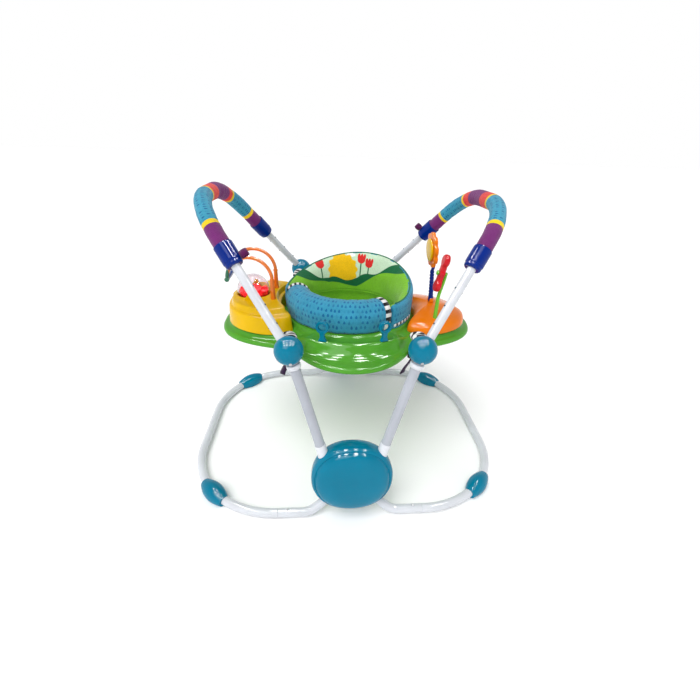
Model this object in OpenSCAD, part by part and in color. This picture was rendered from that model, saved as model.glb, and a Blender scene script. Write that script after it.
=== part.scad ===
/* [Frame] */
// Sideways distance of each ball joint from the middle
ball_x = 154; // [140:1:170]
// Front-to-back distance of each ball joint from the middle
ball_y = 303; // [290:1:320]
// Height of the ball joints above the floor
ball_z = 501; // [480:1:540]
// Diameter of a ball
ball_d = 68; // [64:1:76]
// Wall of the ball shells
ball_wall = 4; // [3:0.5:5]
// Outward lean of each arch from upright, degrees
arch_lean = 35.6; // [25:0.2:42]
// Inward slope of the arch legs in the plane of the arch, degrees
arch_slope = 25.6; // [20:0.2:28]
// Length of an arch along its lean, from the balls to the crown
arch_rise = 356; // [330:1:380]
// Bend radius of the arch corners at the tube's centreline
arch_corner_r = 153; // [120:1:165]
// Outer diameter of the arch tubes
arch_tube_d = 22; // [19:0.5:25]
// Outer diameter of the four lower legs
leg_d = 25.4; // [22:0.2:28]
// Outer diameter of the floor tubes
base_d = 25; // [22:0.5:28]
// Wall of all steel tubes
tube_wall = 1.2; // [1:0.1:1.6]

/* [Floor loop] */
// Half the width of the loop at the tube's centreline
base_half_w = 468; // [440:1:490]
// Half the depth of the loop at the tube's centreline
base_half_d = 356; // [340:1:375]
// Height of the loop's centreline above the floor
base_z = 16; // [15:0.5:20]
// Sideways place of the push-in joint between hub tube and floor tube
seam_x = 200; // [190:1:205]
// Depth of the necked spigots in the tube joints
spigot_len = 45; // [35:1:50]
// Distance from a joint to its snap button
button_back = 25; // [18:1:28]
// Diameter of a snap button
button_d = 6.4; // [5:0.2:8]
// Travel of a snap button when pressed
button_travel = 4; // [3:0.5:5]
// Length of a floor foot along its tube
foot_len = 96; // [80:1:110]
// Largest diameter of a floor foot
foot_d = 54; // [48:1:60]
// Place of the back feet round their corner bends, degrees from the side
foot_turn = 49; // [42:1:54]

/* [Hubs] */
// Distance of the hub's middle inside the loop's front or back line
hub_inset = 16; // [10:1:22]
// Height of the hub's middle
hub_z = 138; // [132:1:146]
// Half the width of a hub
hub_half_w = 109; // [100:1:116]
// Half the height of a hub
hub_half_h = 103; // [96:1:108]
// Depth of the domed cover outside the parting plane
hub_cover_t = 45; // [40:1:50]
// Depth of the hub's back inside the parting plane
hub_back_t = 40; // [34:1:44]
// Sideways place of a leg's lower end in the hub
leg_foot_x = 58; // [52:1:64]
// Length of the white sleeve that shows above the hub
sleeve_show = 30; // [20:1:40]
// Wall of the white leg sleeves
sleeve_wall = 1.4; // [1:0.1:2]

/* [Grips] */
// Outer diameter of the padded grip over an arch
grip_d = 42; // [36:1:46]
// Outer diameter of the grip's end caps
cap_d = 46; // [44:1:50]
// Length of an end cap
cap_len = 54; // [45:1:60]
// Distance along the tube from the front bend down to the middle of the front cap
cap_front_drop = 48; // [34:1:60]
// Distance along the tube from the back bend down to the middle of the back cap
cap_back_drop = 76; // [50:1:96]
// Diameter of a stud's head
stud_d = 5; // [4:0.5:6]

/* [Tray] */
// Half the width of the tray over its side lobes
tray_half_w = 366; // [350:1:380]
// Half the depth of a side lobe
side_lobe_d = 186; // [176:1:196]
// Distance of the front and back lobes' centres from the middle
end_lobe_y = 152; // [145:1:158]
// Radius of the front and back lobes
end_lobe_r = 146; // [140:1:150]
// Height of the tray's rolled lip above the floor
lip_z = 430; // [420:1:436]
// Height of the tray's deck above the floor
deck_z = 478; // [470:1:484]
// Fall of the side lobes below the deck
side_drop = 20; // [14:1:22]
// Radius of the round deck edge over the front and back lobes
deck_edge_r = 234; // [226:1:242]
// Wall of the tray moulding
tray_wall = 3; // [2.5:0.5:4]
// Radius of the round opening for the seat
track_r = 176; // [172:1:178]
// Outer diameter of a teal toy ring
toy_ring_d = 33; // [30:1:36]
// Diameter of the hole in a toy ring
toy_hole_d = 20; // [16:1:22]
// Height of a toy ring's middle above the deck
toy_ring_h = 38; // [32:1:44]
// Thickness of a toy ring
toy_ring_t = 10; // [7:0.5:11]
// Width of the suspension webbing
strap_w = 16; // [12:1:16]

/* [Toys] */
// Distance of the rolling ball and the flower base from the middle
toy_x = 275; // [268:1:280]
// Diameter of the clear rolling ball
toy_ball_d = 92; // [86:1:94]
// Height of the rolling ball's axle
toy_ball_z = 532; // [528:1:540]
// Diameter of the rolling ball's axle stubs
toy_axle_d = 8; // [6:0.5:10]
// Distance of the two bead rails from the middle, front to back
rail_y = 45; // [40:1:46]
// Half the span of a bead rail
rail_r = 60; // [58:1:62]
// Rod diameter of a bead rail
rail_d = 9.5; // [8:0.5:11]
// Height at which a rail leaves its posts
rail_z = 578; // [570:1:590]
// Diameter of the flower over its petals
flower_d = 98; // [88:1:106]
// Height of the flower's middle
flower_z = 655; // [645:1:665]
// Length of the two-lobed spinner
spinner_len = 102; // [92:1:108]

/* [Seat] */
// Turn of the seat in the tray, degrees
seat_turn = 26; // [-180:1:180]
// Outer radius of the padded seat wall
seat_r = 187; // [184:1:189]
// Height of the seat wall at its sides
seat_side_z = 546; // [536:1:552]
// Height of the seat wall at its back
seat_back_z = 600; // [580:1:612]
// Diameter of the front bolster
bolster_d = 78; // [70:1:80]
// Half the angle that the bolster spans, degrees
bolster_span = 60; // [50:1:64]
// Lowest point of the seat sling
sling_z = 296; // [285:1:320]
// Diameter of a leg hole in the sling
leg_hole_d = 112; // [100:1:118]

/* [Hidden] */
$fn = 48;
// Air between pieces that are fastened together
fit = 0.2;
// Straight lengths run this far into a bend, a little thinner than its wall
sink = 1;
step = 0.1;
// Air between pieces on different bodies
run = 0.3;
ball_r = ball_d / 2;
// Straight part of the arch legs and half length of its flat crown
arch_bend_s = arch_rise - arch_corner_r + arch_corner_r * sin(arch_slope);
arch_leg_len = arch_bend_s / cos(arch_slope);
arch_flat = ball_y - arch_corner_r * cos(arch_slope) - arch_bend_s * tan(arch_slope);
// Middles of the caps along the tube from their balls, and the spacing of the cross studs below them
cap_front = arch_leg_len - cap_front_drop;
cap_back = arch_leg_len - cap_back_drop;
stud_from = ball_r + 32;
stud_step = 0.38 * (cap_back - cap_len / 2 - stud_from);
// Tube ends stop this far from a ball's centre
tube_in = 16;
base_ri = base_d / 2 - tube_wall;
// The corners bend close behind the push-in joints
base_corner_r = base_half_w - seam_x - 6;
base_cx = base_half_w - base_corner_r;
base_cy = base_half_d - base_corner_r;
neck_len = 3;
spigot_r = base_ri - fit;
// Hub tube: bend angle, roll of its bend plane, bend radius and reach into the hub
stub_bend = 36;
stub_roll = 125;
stub_r = 60;
stub_x = 134;
stub_reach = 80;
// Lower end of a leg, its sleeve inside the hub, and the lean of the hubs with their legs
sleeve_d = leg_d + 2 * sleeve_wall + 2 * fit;
sleeve_in = 0.75 * hub_half_h;
hub_y = base_half_d - hub_inset;
hub_lean = atan((hub_y - ball_y) / (ball_z - hub_z));
hub_power = 2.15;
hub_sides = 36;
hub_wall = 3;
// Seat ring, track and sling
ring_top = deck_z + 4;
ring_r = track_r - 10;
ring_wall = 16;
flange_z = deck_z - 20;
track_t = 6;
bolster_r = seat_r - bolster_d / 2;
bolster_z = ring_top + run + bolster_d / 2;
// Suspension
guide_r = 4;
strap_t = 1.6;
strap_off = guide_r + strap_t / 2 + run;
spring_top = 130;
spring_len = 150;
spring_curls = 8;
spring_r = 8;
wire_r = 1.2;
buckle_a = 52.5;
buckle_w = 30;
buckle_t = 12;
buckle_h = 34;
lip_top = 15;
buckle_top = lip_z + 32;
lobe_power = 2.6;
lobe_blend = 8;
cover_gap = 0.8;
// The strap turns down into its buckle from this height above it
strap_drop = 28;
// Toys
ring_edge = seat_r + 6;
base_floor = deck_z - side_drop + 0.3;
base_span = 38;
base_inset = 20;
base_wall = 3;
shelf_z = base_floor + 47;
turret_z = shelf_z + 16;
well_r = toy_ball_d / 2 + 4;
arm_t = 9;
arm_y = toy_ball_d / 2 + 3;
mound_z = base_floor + 40;
flower_x = toy_x - 26;
flower_lean = 5;
stem_ball = 8;
stem_pivot = mound_z + run + stem_ball;
barrel_len = 16;
lug_t = 4;
pin_d = 5;
stem_len = (flower_z - stem_pivot) / cos(flower_lean);
petals = 9;
spin_at = [237, -100, 619];
spin_tilt = 11;
spin_back = 11;
stem_d = 16;
stem_foot = [246, -100, base_floor];

function unit(v) = v / norm(v);
function mix(a, b, t) = a + (b - a) * t;
function smooth(t) = let (c = min(max(t, 0), 1)) c * c * (3 - 2 * c);
function swell(v, n) = sign(v) * pow(abs(v), 2 / n);
function oval(a, b, n, count) = [for (i = [0:count - 1]) let (t = 360 * i / count)
  [a * swell(cos(t), n), b * swell(sin(t), n)]];

function ball_at(sx, sy) = [sx * ball_x, sy * ball_y, ball_z];
function leg_foot(sx, sy) = [sx * leg_foot_x, sy * hub_y, hub_z];
function leg_dir(sx, sy) = unit(leg_foot(sx, sy) - ball_at(sx, sy));
function leg_point(sx, sy, d) = ball_at(sx, sy) + leg_dir(sx, sy) * d;
function arch_dir(sx, sy) = [
  sx * cos(arch_slope) * sin(arch_lean), -sy * sin(arch_slope), cos(arch_slope) * cos(arch_lean)];
leg_len = norm(leg_foot(1, 1) - ball_at(1, 1));

// Outline radius of the four-lobed tray lip at an angle about the seat
function end_lobe(a) = let (q = pow(end_lobe_r, 2) - pow(end_lobe_y * cos(a), 2))
  end_lobe_y * abs(sin(a)) + sqrt(max(q, 0));
function side_lobe(a) = pow(pow(abs(cos(a)) / tray_half_w, lobe_power)
  + pow(abs(sin(a)) / side_lobe_d, lobe_power), -1 / lobe_power);
function lobe(a) = pow(pow(side_lobe(a), lobe_blend) + pow(end_lobe(a), lobe_blend), 1 / lobe_blend);
// One on the front and back lobes, zero on the side lobes
function endness(a) = smooth((abs(sin(a)) - 0.7) / 0.2);
function skirt(a) = mix(28, max(28, lobe(a) - deck_edge_r), endness(a));
function deck_at(a) = deck_z - side_drop * (1 - endness(a));
function recess(a) = 4 * smooth((abs(sin(a)) - 0.86) / 0.06);

module along(d) {
  rotate([0, acos(d.z / norm(d)), atan2(d.y, d.x)]) children();
}

module between(a, b) {
  translate(a) along(b - a) children();
}

module quadrant(sx, sy) {
  mirror([sx < 0 ? 1 : 0, 0, 0]) mirror([0, sy < 0 ? 1 : 0, 0]) children();
}

module tube(d, len, wall = tube_wall) {
  difference() {
    cylinder(d = d, h = len);
    translate([0, 0, -1]) cylinder(d = d - 2 * wall, h = len + 2);
  }
}

module tube_ring(d, wall = tube_wall) {
  difference() {
    circle(d = d);
    circle(d = d - 2 * wall);
  }
}

// Straight length that ends inside the wall of a neighbouring bend
module run_in(d, len, wall = tube_wall) {
  tube(d - 2 * step, len, wall - 2 * step);
}

module bend(r, angle, d, wall = tube_wall) {
  rotate_extrude(angle = angle, $fn = 96) translate([r, 0]) tube_ring(d, wall);
}

// Side faces between neighbouring rings, each ring counter-clockwise seen from the last one
function band(i, j, n) = [for (k = [0:n - 1]) let (m = (k + 1) % n)
  each [[i * n + k, j * n + k, j * n + m], [i * n + k, j * n + m, i * n + m]]];

// Closed solid through a row of rings with flat ends
module loft(rings) {
  n = len(rings[0]);
  last = len(rings) - 1;
  sides = [for (i = [0:last - 1]) each band(i, i + 1, n)];
  ends = [[for (k = [0:n - 1]) k], [for (k = [n - 1:-1:0]) last * n + k]];
  polyhedron(points = [for (r = rings) each r], faces = concat(sides, ends), convexity = 6);
}

// Closed hoop whose last ring joins its first
module hoop(rings) {
  n = len(rings[0]);
  count = len(rings);
  sides = [for (i = [0:count - 1]) each band(i, (i + 1) % count, n)];
  polyhedron(points = [for (r = rings) each r], faces = sides, convexity = 8);
}

// Floor tubes, one quarter of the loop each, with a necked spigot for the hub tube
module necked_end(len) {
  r = base_d / 2;
  rotate_extrude() polygon([
    [base_ri, 0], [r, 0], [spigot_r, neck_len], [spigot_r, neck_len + len],
    [spigot_r - tube_wall, neck_len + len], [spigot_r - tube_wall, neck_len]]);
}

module button_hole(d) {
  translate([seam_x - button_back, base_half_d, base_z]) cylinder(d = d, h = base_d);
}

module base_tube(sx, sy) {
  color("whitesmoke") quadrant(sx, sy) difference() {
    union() {
      translate([base_cx, base_half_d, base_z]) rotate([0, -90, 0]) tube(base_d, base_cx - seam_x - neck_len);
      translate([seam_x + neck_len, base_half_d, base_z]) rotate([0, -90, 0]) necked_end(spigot_len);
      translate([base_cx, base_cy, base_z]) bend(base_corner_r, 90, base_d);
      if (sy > 0) {
        translate([base_half_w, base_cy, base_z]) rotate([90, 0, 0]) tube(base_d, base_cy - neck_len);
        translate([base_half_w, neck_len, base_z]) rotate([90, 0, 0]) necked_end(spigot_len);
      } else {
        translate([base_half_w, base_cy, base_z]) rotate([90, 0, 0]) tube(base_d, base_cy - fit);
      }
    }
    button_hole(button_d + 2 * run);
  }
}

// Short tubes that carry the floor loop into the hubs
module stub_bent() {
  translate([stub_x, base_half_d, base_z]) rotate([stub_roll, 0, 0]) children();
}

module hub_tube_solid(d, wall) {
  stub_bent() {
    translate([0, stub_r, 0]) rotate([0, 0, -90 - stub_bend]) bend(stub_r, stub_bend, d, wall);
    translate([-stub_r * sin(stub_bend), stub_r - stub_r * cos(stub_bend), 0])
      rotate([0, 90, 180 - stub_bend]) translate([0, 0, -sink]) run_in(d, stub_reach + sink, wall);
  }
}

module hub_tubes() {
  color("whitesmoke") for (sx = [-1, 1], sy = [-1, 1]) quadrant(sx, sy) difference() {
    union() {
      translate([seam_x, base_half_d, base_z]) rotate([0, -90, 0]) run_in(base_d, seam_x - stub_x + sink);
      hub_tube_solid(base_d, tube_wall);
    }
    button_hole(button_d + 2 * run);
  }
}

module snap_button(sx, sy) {
  head = base_d / 2 + button_travel - 1.4;
  collar = spigot_r - tube_wall - run;
  color("silver") quadrant(sx, sy) translate([seam_x - button_back, base_half_d, base_z]) {
    translate([0, 0, collar - 0.2]) cylinder(d = button_d, h = head - collar - 0.8);
    translate([0, 0, head - 1]) cylinder(d1 = button_d, d2 = button_d - 2, h = 1);
    translate([0, 0, collar - 2.4]) intersection() {
      cylinder(d = button_d + 3, h = 2.2);
      translate([0, 0, 2.4 - collar]) rotate([0, 90, 0])
        cylinder(r = collar, h = button_d + 4, center = true);
    }
  }
}

// Bulb-shaped feet clamped over the corner bends
module floor_feet(sy) {
  half = foot_len / 2;
  end_r = base_d / 2 + 3;
  color("darkcyan") for (sx = [-1, 1]) quadrant(sx, sy) difference() {
    intersection() {
      translate([base_cx, base_cy, base_z]) rotate([0, 0, sy > 0 ? foot_turn : 45])
        translate([base_corner_r, 0, 0])
        rotate([-90, 0, 0]) rotate_extrude() polygon(concat([[0, -half]],
          [for (i = [-8:8]) let (t = i / 8) [mix(end_r, foot_d / 2, pow(cos(90 * t), 0.9)), half * t]],
          [[0, half]]));
      translate([0, 0, foot_d]) cube([4 * base_half_w, 4 * base_half_d, 2 * foot_d], center = true);
    }
    translate([base_cx, base_cy, base_z]) rotate_extrude(angle = 90, $fn = 96)
      translate([base_corner_r, 0]) circle(d = base_d + 2 * fit);
  }
}

// Hub pods, clamped round the legs and hub tubes
function hub_ring(k, depth) = [for (p = oval(hub_half_h, hub_half_w, hub_power, hub_sides))
  [p.y * k, hub_y + depth * cos(hub_lean) - p.x * k * sin(hub_lean),
   hub_z + depth * sin(hub_lean) + p.x * k * cos(hub_lean)]];

module hub_bores(wall) {
  for (sx = [-1, 1]) {
    between(leg_foot(sx, 1) + leg_dir(sx, 1) * (fit + wall), ball_at(sx, 1))
      cylinder(d = sleeve_d + 2 * fit + 2 * wall, h = leg_len);
    quadrant(sx, 1) stub_bent()
      translate([-stub_r * sin(stub_bend), stub_r - stub_r * cos(stub_bend), 0])
        rotate([0, 90, 180 - stub_bend]) translate([0, 0, -stub_r])
          cylinder(d = base_d + 2 * fit + 2 * wall, h = stub_r + stub_reach + fit + wall);
  }
}

// Half of a hub: a moulded shell, its tube sockets, and the bores through both
function hub_rings(rows, side) = side > 0 ? [for (r = rows) hub_ring(r[0], r[1])]
  : [for (i = [len(rows) - 1:-1:0]) hub_ring(rows[i][0], -rows[i][1])];

module hub_half(outer, inner, side) {
  last = len(outer) - 1;
  middle = [for (i = [0:last]) [outer[i][0] - 0.0165, outer[i][1] - (i == 0 ? 0 : 1.45)]];
  difference() {
    union() {
      loft(hub_rings(concat(inner, outer), side));
      intersection() {
        hub_bores(hub_wall);
        loft(hub_rings(middle, side));
      }
    }
    hub_bores(0);
  }
}

module hub_cover(sy) {
  t = hub_cover_t;
  rows = [
    [1, 0.1], [1, 0.2 * t], [0.985, 0.34 * t], [0.955, 0.46 * t], [0.925, 0.52 * t], [0.905, 0.49 * t],
    [0.885, 0.57 * t], [0.85, 0.69 * t], [0.78, 0.8 * t], [0.6, 0.92 * t], [0.3, 0.985 * t], [0.12, t]];
  inner = [[0.12, t - 3], [0.58, 0.92 * t - 3], [0.76, 0.8 * t - 3], [0.83, 0.66 * t - 3], [0.87, 0.42 * t],
    [0.925, 0.38 * t], [0.955, 0.28 * t], [0.968, 0.16 * t], [0.97, 0.1]];
  color("darkturquoise") quadrant(1, sy) hub_half(rows, inner, 1);
}

module hub_back(sy) {
  t = hub_back_t;
  rows = [[1, 0.1], [1, 6], [0.985, 0.4 * t], [0.93, 0.7 * t], [0.8, 0.9 * t], [0.5, 0.99 * t], [0.2, t]];
  inner = [[0.2, t - 3], [0.48, 0.99 * t - 3], [0.77, 0.9 * t - 3], [0.9, 0.66 * t - 1.5], [0.955, 0.36 * t],
    [0.97, 5], [0.97, 0.1]];
  color("darkturquoise") quadrant(1, sy) hub_half(rows, inner, -1);
}

// Lower legs with the cross pin that holds the spring
module lower_leg(sx, sy) {
  pin_d = 4;
  color("whitesmoke") difference() {
    union() {
      translate(leg_point(sx, sy, tube_in)) along(leg_dir(sx, sy)) tube(leg_d, leg_len - tube_in - fit);
      translate(leg_point(sx, sy, spring_top + spring_len + pin_d / 2 + wire_r + run)) along(leg_dir(sx, sy))
        rotate([90, 0, 0]) cylinder(d = pin_d, h = leg_d - tube_wall, center = true);
    }
    screw_axis(sx, sy) cylinder(d = 4.4, h = leg_d);
  }
}

module leg_sleeves() {
  color("white") for (sx = [-1, 1], sy = [-1, 1])
    translate(leg_foot(sx, sy) - leg_dir(sx, sy) * (sleeve_show + sleeve_in)) along(leg_dir(sx, sy))
      tube(sleeve_d, sleeve_show + sleeve_in, sleeve_wall);
}

module leg_collars() {
  r = leg_d / 2 + 4.5;
  h = 13;
  color("white") for (sx = [-1, 1], sy = [-1, 1])
    translate(leg_point(sx, sy, ball_r + run)) along(leg_dir(sx, sy)) rotate_extrude()
      polygon([[leg_d / 2 + fit, 0], [r - 2, 0], [r - 0.6, 0.8], [r, 2.5], [r, h - 6],
        [r - 0.8, h - 3], [r - 2.5, h - 0.7], [r - 3.5, h], [leg_d / 2 + fit, h]]);
}

// Two half shells round the tube ends at each corner of the suspension
module screw_axis(sx, sy) {
  translate(leg_point(sx, sy, tube_in + 5)) rotate([-90 * sy, 0, 0]) children();
}

module ball(sx, sy) {
  face = sqrt(pow(ball_r, 2) - pow(tube_in + 5, 2));
  color("darkcyan") for (half = [-1, 1]) difference() {
    intersection() {
      translate(ball_at(sx, sy)) sphere(r = ball_r, $fn = 64);
      translate(ball_at(sx, sy) + [0, half * (ball_d + 0.1), 0]) cube(2 * ball_d, center = true);
    }
    translate(ball_at(sx, sy)) {
      sphere(r = ball_r - ball_wall, $fn = 64);
      along(arch_dir(sx, sy)) cylinder(d = arch_tube_d + 2 * fit, h = ball_d);
      along(leg_dir(sx, sy)) cylinder(d = leg_d + 2 * fit, h = ball_d);
    }
    between(ball_at(sx, sy), strap_end(sx, sy)) rotate([0, 0, 180])
      translate([-6, -strap_w / 2 - 2, 10]) cube([14, strap_w + 4, ball_d]);
    screw_axis(sx, sy) {
      cylinder(d = 4.4, h = ball_d);
      translate([0, 0, face - 2.4]) cylinder(d = 7.4, h = ball_d);
    }
  }
}

module ball_screws() {
  face = sqrt(pow(ball_r, 2) - pow(tube_in + 5, 2));
  color("dimgray") for (sx = [-1, 1], sy = [-1, 1]) screw_axis(sx, sy) {
    translate([0, 0, leg_d / 2 - 3]) cylinder(d = 4, h = face - 2.3 - leg_d / 2 + 3);
    translate([0, 0, face - 2.3]) cylinder(d = 7, h = 1.8);
  }
}

module strap_guides() {
  color("silver") for (sx = [-1, 1], sy = [-1, 1]) translate(ball_at(sx, sy)) rotate([0, 90, 0])
    cylinder(r = guide_r, h = 2 * (sqrt(pow(ball_r - ball_wall, 2) - pow(guide_r, 2)) - fit), center = true);
}

// Extension springs inside the lower legs
function side_of(d) = unit(cross(d, [0, 1, 0]));
function spring_ring(sx, sy, t) = let (
    d = leg_dir(sx, sy), p = side_of(d), q = cross(d, p), a = 360 * spring_curls * t,
    out = p * cos(a) + q * sin(a), n = spring_curls * min(t, 1 - t),
    c = leg_point(sx, sy, spring_top + spring_len * t) + out * spring_r * min(1, 0.06 + 1.3 * n),
    v = unit(d * spring_len + (q * cos(a) - p * sin(a)) * spring_r * 2 * PI * spring_curls),
    w = cross(v, out))
  [for (i = [0:5]) c + (out * cos(60 * i) + w * sin(60 * i)) * wire_r];

module suspension_springs() {
  steps = spring_curls * 8;
  color("gray") for (sx = [-1, 1], sy = [-1, 1])
    loft([for (i = [0:steps]) spring_ring(sx, sy, i / steps)]);
}
echo(spring_gap = spring_len / spring_curls - 2 * wire_r);

// Arch tubes, grips, caps and studs, drawn in the plane of the arch
module arch_plane(sx) {
  mirror([sx < 0 ? 1 : 0, 0, 0]) translate([ball_x, 0, ball_z]) rotate([0, arch_lean, 0])
    rotate([90, 0, 90]) children();
}

module arch_leg(sy) {
  mirror([sy < 0 ? 0 : 1, 0, 0]) translate([-ball_y, 0, 0]) rotate([0, 0, -arch_slope])
    rotate([-90, 0, 0]) children();
}

module arch_run(d, wall, front, back) {
  arch_leg(-1) translate([0, 0, front]) run_in(d, arch_leg_len - front + sink, wall);
  arch_leg(1) translate([0, 0, back]) run_in(d, arch_leg_len - back + sink, wall);
  for (m = [0, 1]) mirror([m, 0, 0]) translate([-arch_flat, arch_rise - arch_corner_r, 0])
    rotate([0, 0, 90]) bend(arch_corner_r, 90 - arch_slope, d, wall);
  translate([-arch_flat - sink, arch_rise, 0]) rotate([0, 90, 0]) run_in(d, 2 * (arch_flat + sink), wall);
}

function stud_at(i) = stud_from + stud_step * i;

module arch_tube(sx) {
  color("whitesmoke") arch_plane(sx) difference() {
    arch_run(arch_tube_d, tube_wall, tube_in, tube_in);
    for (sy = [-1, 1], i = [0:2]) arch_leg(sy) translate([0, 0, stud_at(i)]) rotate([90, 0, 0])
      cylinder(d = stud_d - 1 + 2 * fit, h = 2 * arch_tube_d, center = true);
  }
}

module arch_studs() {
  half = arch_tube_d / 2 + 1.4;
  color("teal") for (sx = [-1, 1]) arch_plane(sx) for (sy = [-1, 1], i = [0:2]) arch_leg(sy)
    translate([0, 0, stud_at(i)]) rotate([90, 0, 0]) {
      cylinder(d = stud_d - 1, h = 2 * half - 1, center = true);
      for (m = [0, 1]) mirror([0, 0, m]) translate([0, 0, half - 1.2])
        cylinder(d1 = stud_d, d2 = stud_d - 2, h = 1.2);
    }
}

module grip(sx) {
  wall = (grip_d - arch_tube_d) / 2 - fit;
  color("steelblue") arch_plane(sx)
    arch_run(grip_d, wall, cap_front + cap_len / 2 - 12, cap_back + cap_len / 2 - 12);
}

module grip_caps(sx) {
  r = cap_d / 2;
  ri = arch_tube_d / 2 + fit;
  gi = grip_d / 2 + fit;
  color("mediumblue") arch_plane(sx) for (sy = [-1, 1]) arch_leg(sy)
    translate([0, 0, (sy < 0 ? cap_front : cap_back) - cap_len / 2]) rotate_extrude() polygon([
      [ri, 0], [r - 6, 0], [r - 4, 0.6], [r - 2.2, 2.4], [r - 1.6, 5], [r - 1.6, 9], [r - 0.4, 11], [r, 14],
      [r, cap_len - 2], [r - 0.5, cap_len], [gi, cap_len], [gi, cap_len - 12 - fit],
      [ri, cap_len - 12 - fit]]);
}

// Webbing loops for hanging toys, on one cap of each arch
module hang_loops() {
  color("purple") for (s = [[-1, -1, cap_front], [1, 1, cap_back]]) arch_plane(s[0]) arch_leg(s[1])
    translate([0, 0, s[2] - 2]) rotate([90, 0, s[1] < 0 ? 180 : 0])
      translate([0, 0, cap_d / 2 + run]) rotate([0, 90, 0]) translate([-13, 0, 0])
        difference() {
          cylinder(r = 13, h = 20, center = true);
          cylinder(r = 11, h = 22, center = true);
        }
}

// Suspension webbing from each spring over its guide to the tray
buckle_arc = buckle_w / lobe(buckle_a) * 180 / PI;
buckle_r = buckle_t / 2 + 2 * run
  + max([for (i = [-8:8]) let (t = i * buckle_arc / 16) lobe(buckle_a + t) * cos(t)]);
function buckle_at(sx, sy) = [sx * buckle_r * cos(buckle_a), sy * buckle_r * sin(buckle_a), buckle_top];
function strap_end(sx, sy) = buckle_at(sx, sy) + [0, 0, strap_drop];
function strap_aim(sx, sy) = unit(strap_end(sx, sy) - ball_at(sx, sy));
function strap_out(sx, sy, d) = ball_at(sx, sy) + strap_aim(sx, sy) * d + [0, 0, 2];
function strap_run(sx, sy) = let (b = ball_at(sx, sy), h = [0, -sy, 0], drop = asin(-strap_aim(sx, sy).z))
  concat([leg_point(sx, sy, spring_top - wire_r - run), leg_point(sx, sy, 30) - h * strap_off],
    [for (i = [0:5]) let (a = mix(180, 90 - drop, i / 5)) b + (h * cos(a) + [0, 0, sin(a)]) * strap_off],
    [strap_out(sx, sy, ball_r)]);
function ribbon(path, w, t) = [for (i = [0:len(path) - 1]) let (
    d = unit(path[min(i + 1, len(path) - 1)] - path[max(i - 1, 0)]), n = unit(cross(d, [1, 0, 0])),
    a = [w / 2, 0, 0], b = n * t / 2)
  [path[i] + a + b, path[i] - a + b, path[i] - a - b, path[i] + a - b]];

module strap_runs() {
  color("indigo") for (sx = [-1, 1], sy = [-1, 1])
    loft(ribbon(strap_run(sx, sy), strap_w, strap_t));
}

module straps() {
  color("indigo") for (sx = [-1, 1], sy = [-1, 1])
    loft(ribbon([strap_out(sx, sy, ball_r + run), strap_end(sx, sy)], strap_w, strap_t));
}

// Gathered fabric sleeves over the straps between ball and tray
function cover_ring(sx, sy, t, a, b) = let (
    p = ball_at(sx, sy), e = unit(strap_end(sx, sy) - p), n = cross(e, [1, 0, 0]),
    start = p + e * (ball_r + cover_gap), end = strap_end(sx, sy) - e * (strap_w / 2 + run),
    c = mix(start, end, t) + [0, 0, 2 * (1 - t)])
  [for (q = oval(a, b, 2, 12)) c + [q.x, 0, 0] - n * q.y];

module strap_covers() {
  steps = 7;
  outer = [for (i = [0:steps]) [i / steps, 15 + 2 * cos(180 * i), 8 + 1.5 * cos(180 * i)]];
  inner = [for (i = [steps:-steps:0]) [i / steps, strap_w / 2 + 2, 3.4]];
  color("gray") for (sx = [-1, 1], sy = [-1, 1])
    hoop([for (r = concat(outer, inner)) cover_ring(sx, sy, r[0], r[1], r[2])]);
}

module strap_buckles() {
  color("black") for (sx = [-1, 1], sy = [-1, 1]) quadrant(sx, sy)
    translate(buckle_at(1, 1) - [0, 0, buckle_h]) rotate([0, 0, buckle_a]) difference() {
      translate([-buckle_t / 2, -buckle_w / 2, 0]) cube([buckle_t, buckle_w, buckle_h]);
      for (z = [8, 20]) translate([0, 0, z]) cube([2 * buckle_t, strap_w + 4, 4], center = true);
    }
}

module strap_tails() {
  len = 42;
  color("indigo") for (sx = [-1, 1], sy = [-1, 1]) quadrant(sx, sy) {
    translate(buckle_at(1, 1) + [0, 0, run]) rotate([0, 0, buckle_a])
      translate([-strap_t / 2, -strap_w / 2, 0]) cube([strap_t, strap_w, strap_drop - strap_t / 2 - 2 * run]);
    translate(buckle_at(1, 1) - [0, 0, buckle_h + run]) rotate([0, 0, buckle_a])
      loft([for (i = [0:4]) let (t = i / 4, x = 7 * sin(70 * t), z = -len * t)
        [[x - strap_t / 2, strap_w / 2, z], [x + strap_t / 2, strap_w / 2, z],
         [x + strap_t / 2, -strap_w / 2, z], [x - strap_t / 2, -strap_w / 2, z]]]);
  }
}

// Four-lobed tray with a rolled lip, flared skirt and a collar for the seat
function tray_section(a) = let (
    r = lobe(a), s = skirt(a), top = deck_at(a), up = lip_z + lip_top, rise = top - up,
    w = tray_wall, edge = r - s, dip = recess(a), inner = track_r + 12)
  [
    [r - 9, lip_z + 1], [r - 3, lip_z], [r, lip_z + 5], [r - 1.5, lip_z + 11], [r - 8, up],
    [r - mix(8, s, 0.5), up + 0.12 * rise], [r - mix(8, s, 0.82), up + 0.5 * rise],
    [edge, top - 3], [edge - 7, top], [max(edge - 13, inner + 8), top - dip],
    [inner + 4, top - dip], [inner, deck_z], [track_r + 1.5, deck_z], [track_r, deck_z - 1.5],
    [track_r, flange_z], [track_r - 8, flange_z], [track_r - 8, flange_z - w], [track_r + w, flange_z - w],
    [track_r + w, deck_z - side_drop - w - 4], [edge - 8, top - w - dip], [edge - 2, top - w - 3],
    [r - mix(8, s, 0.82) - w, up + 0.5 * rise - w], [r - mix(8, s, 0.5) - w, up + 0.12 * rise - w],
    [r - 11, up - w]
  ];

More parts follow.
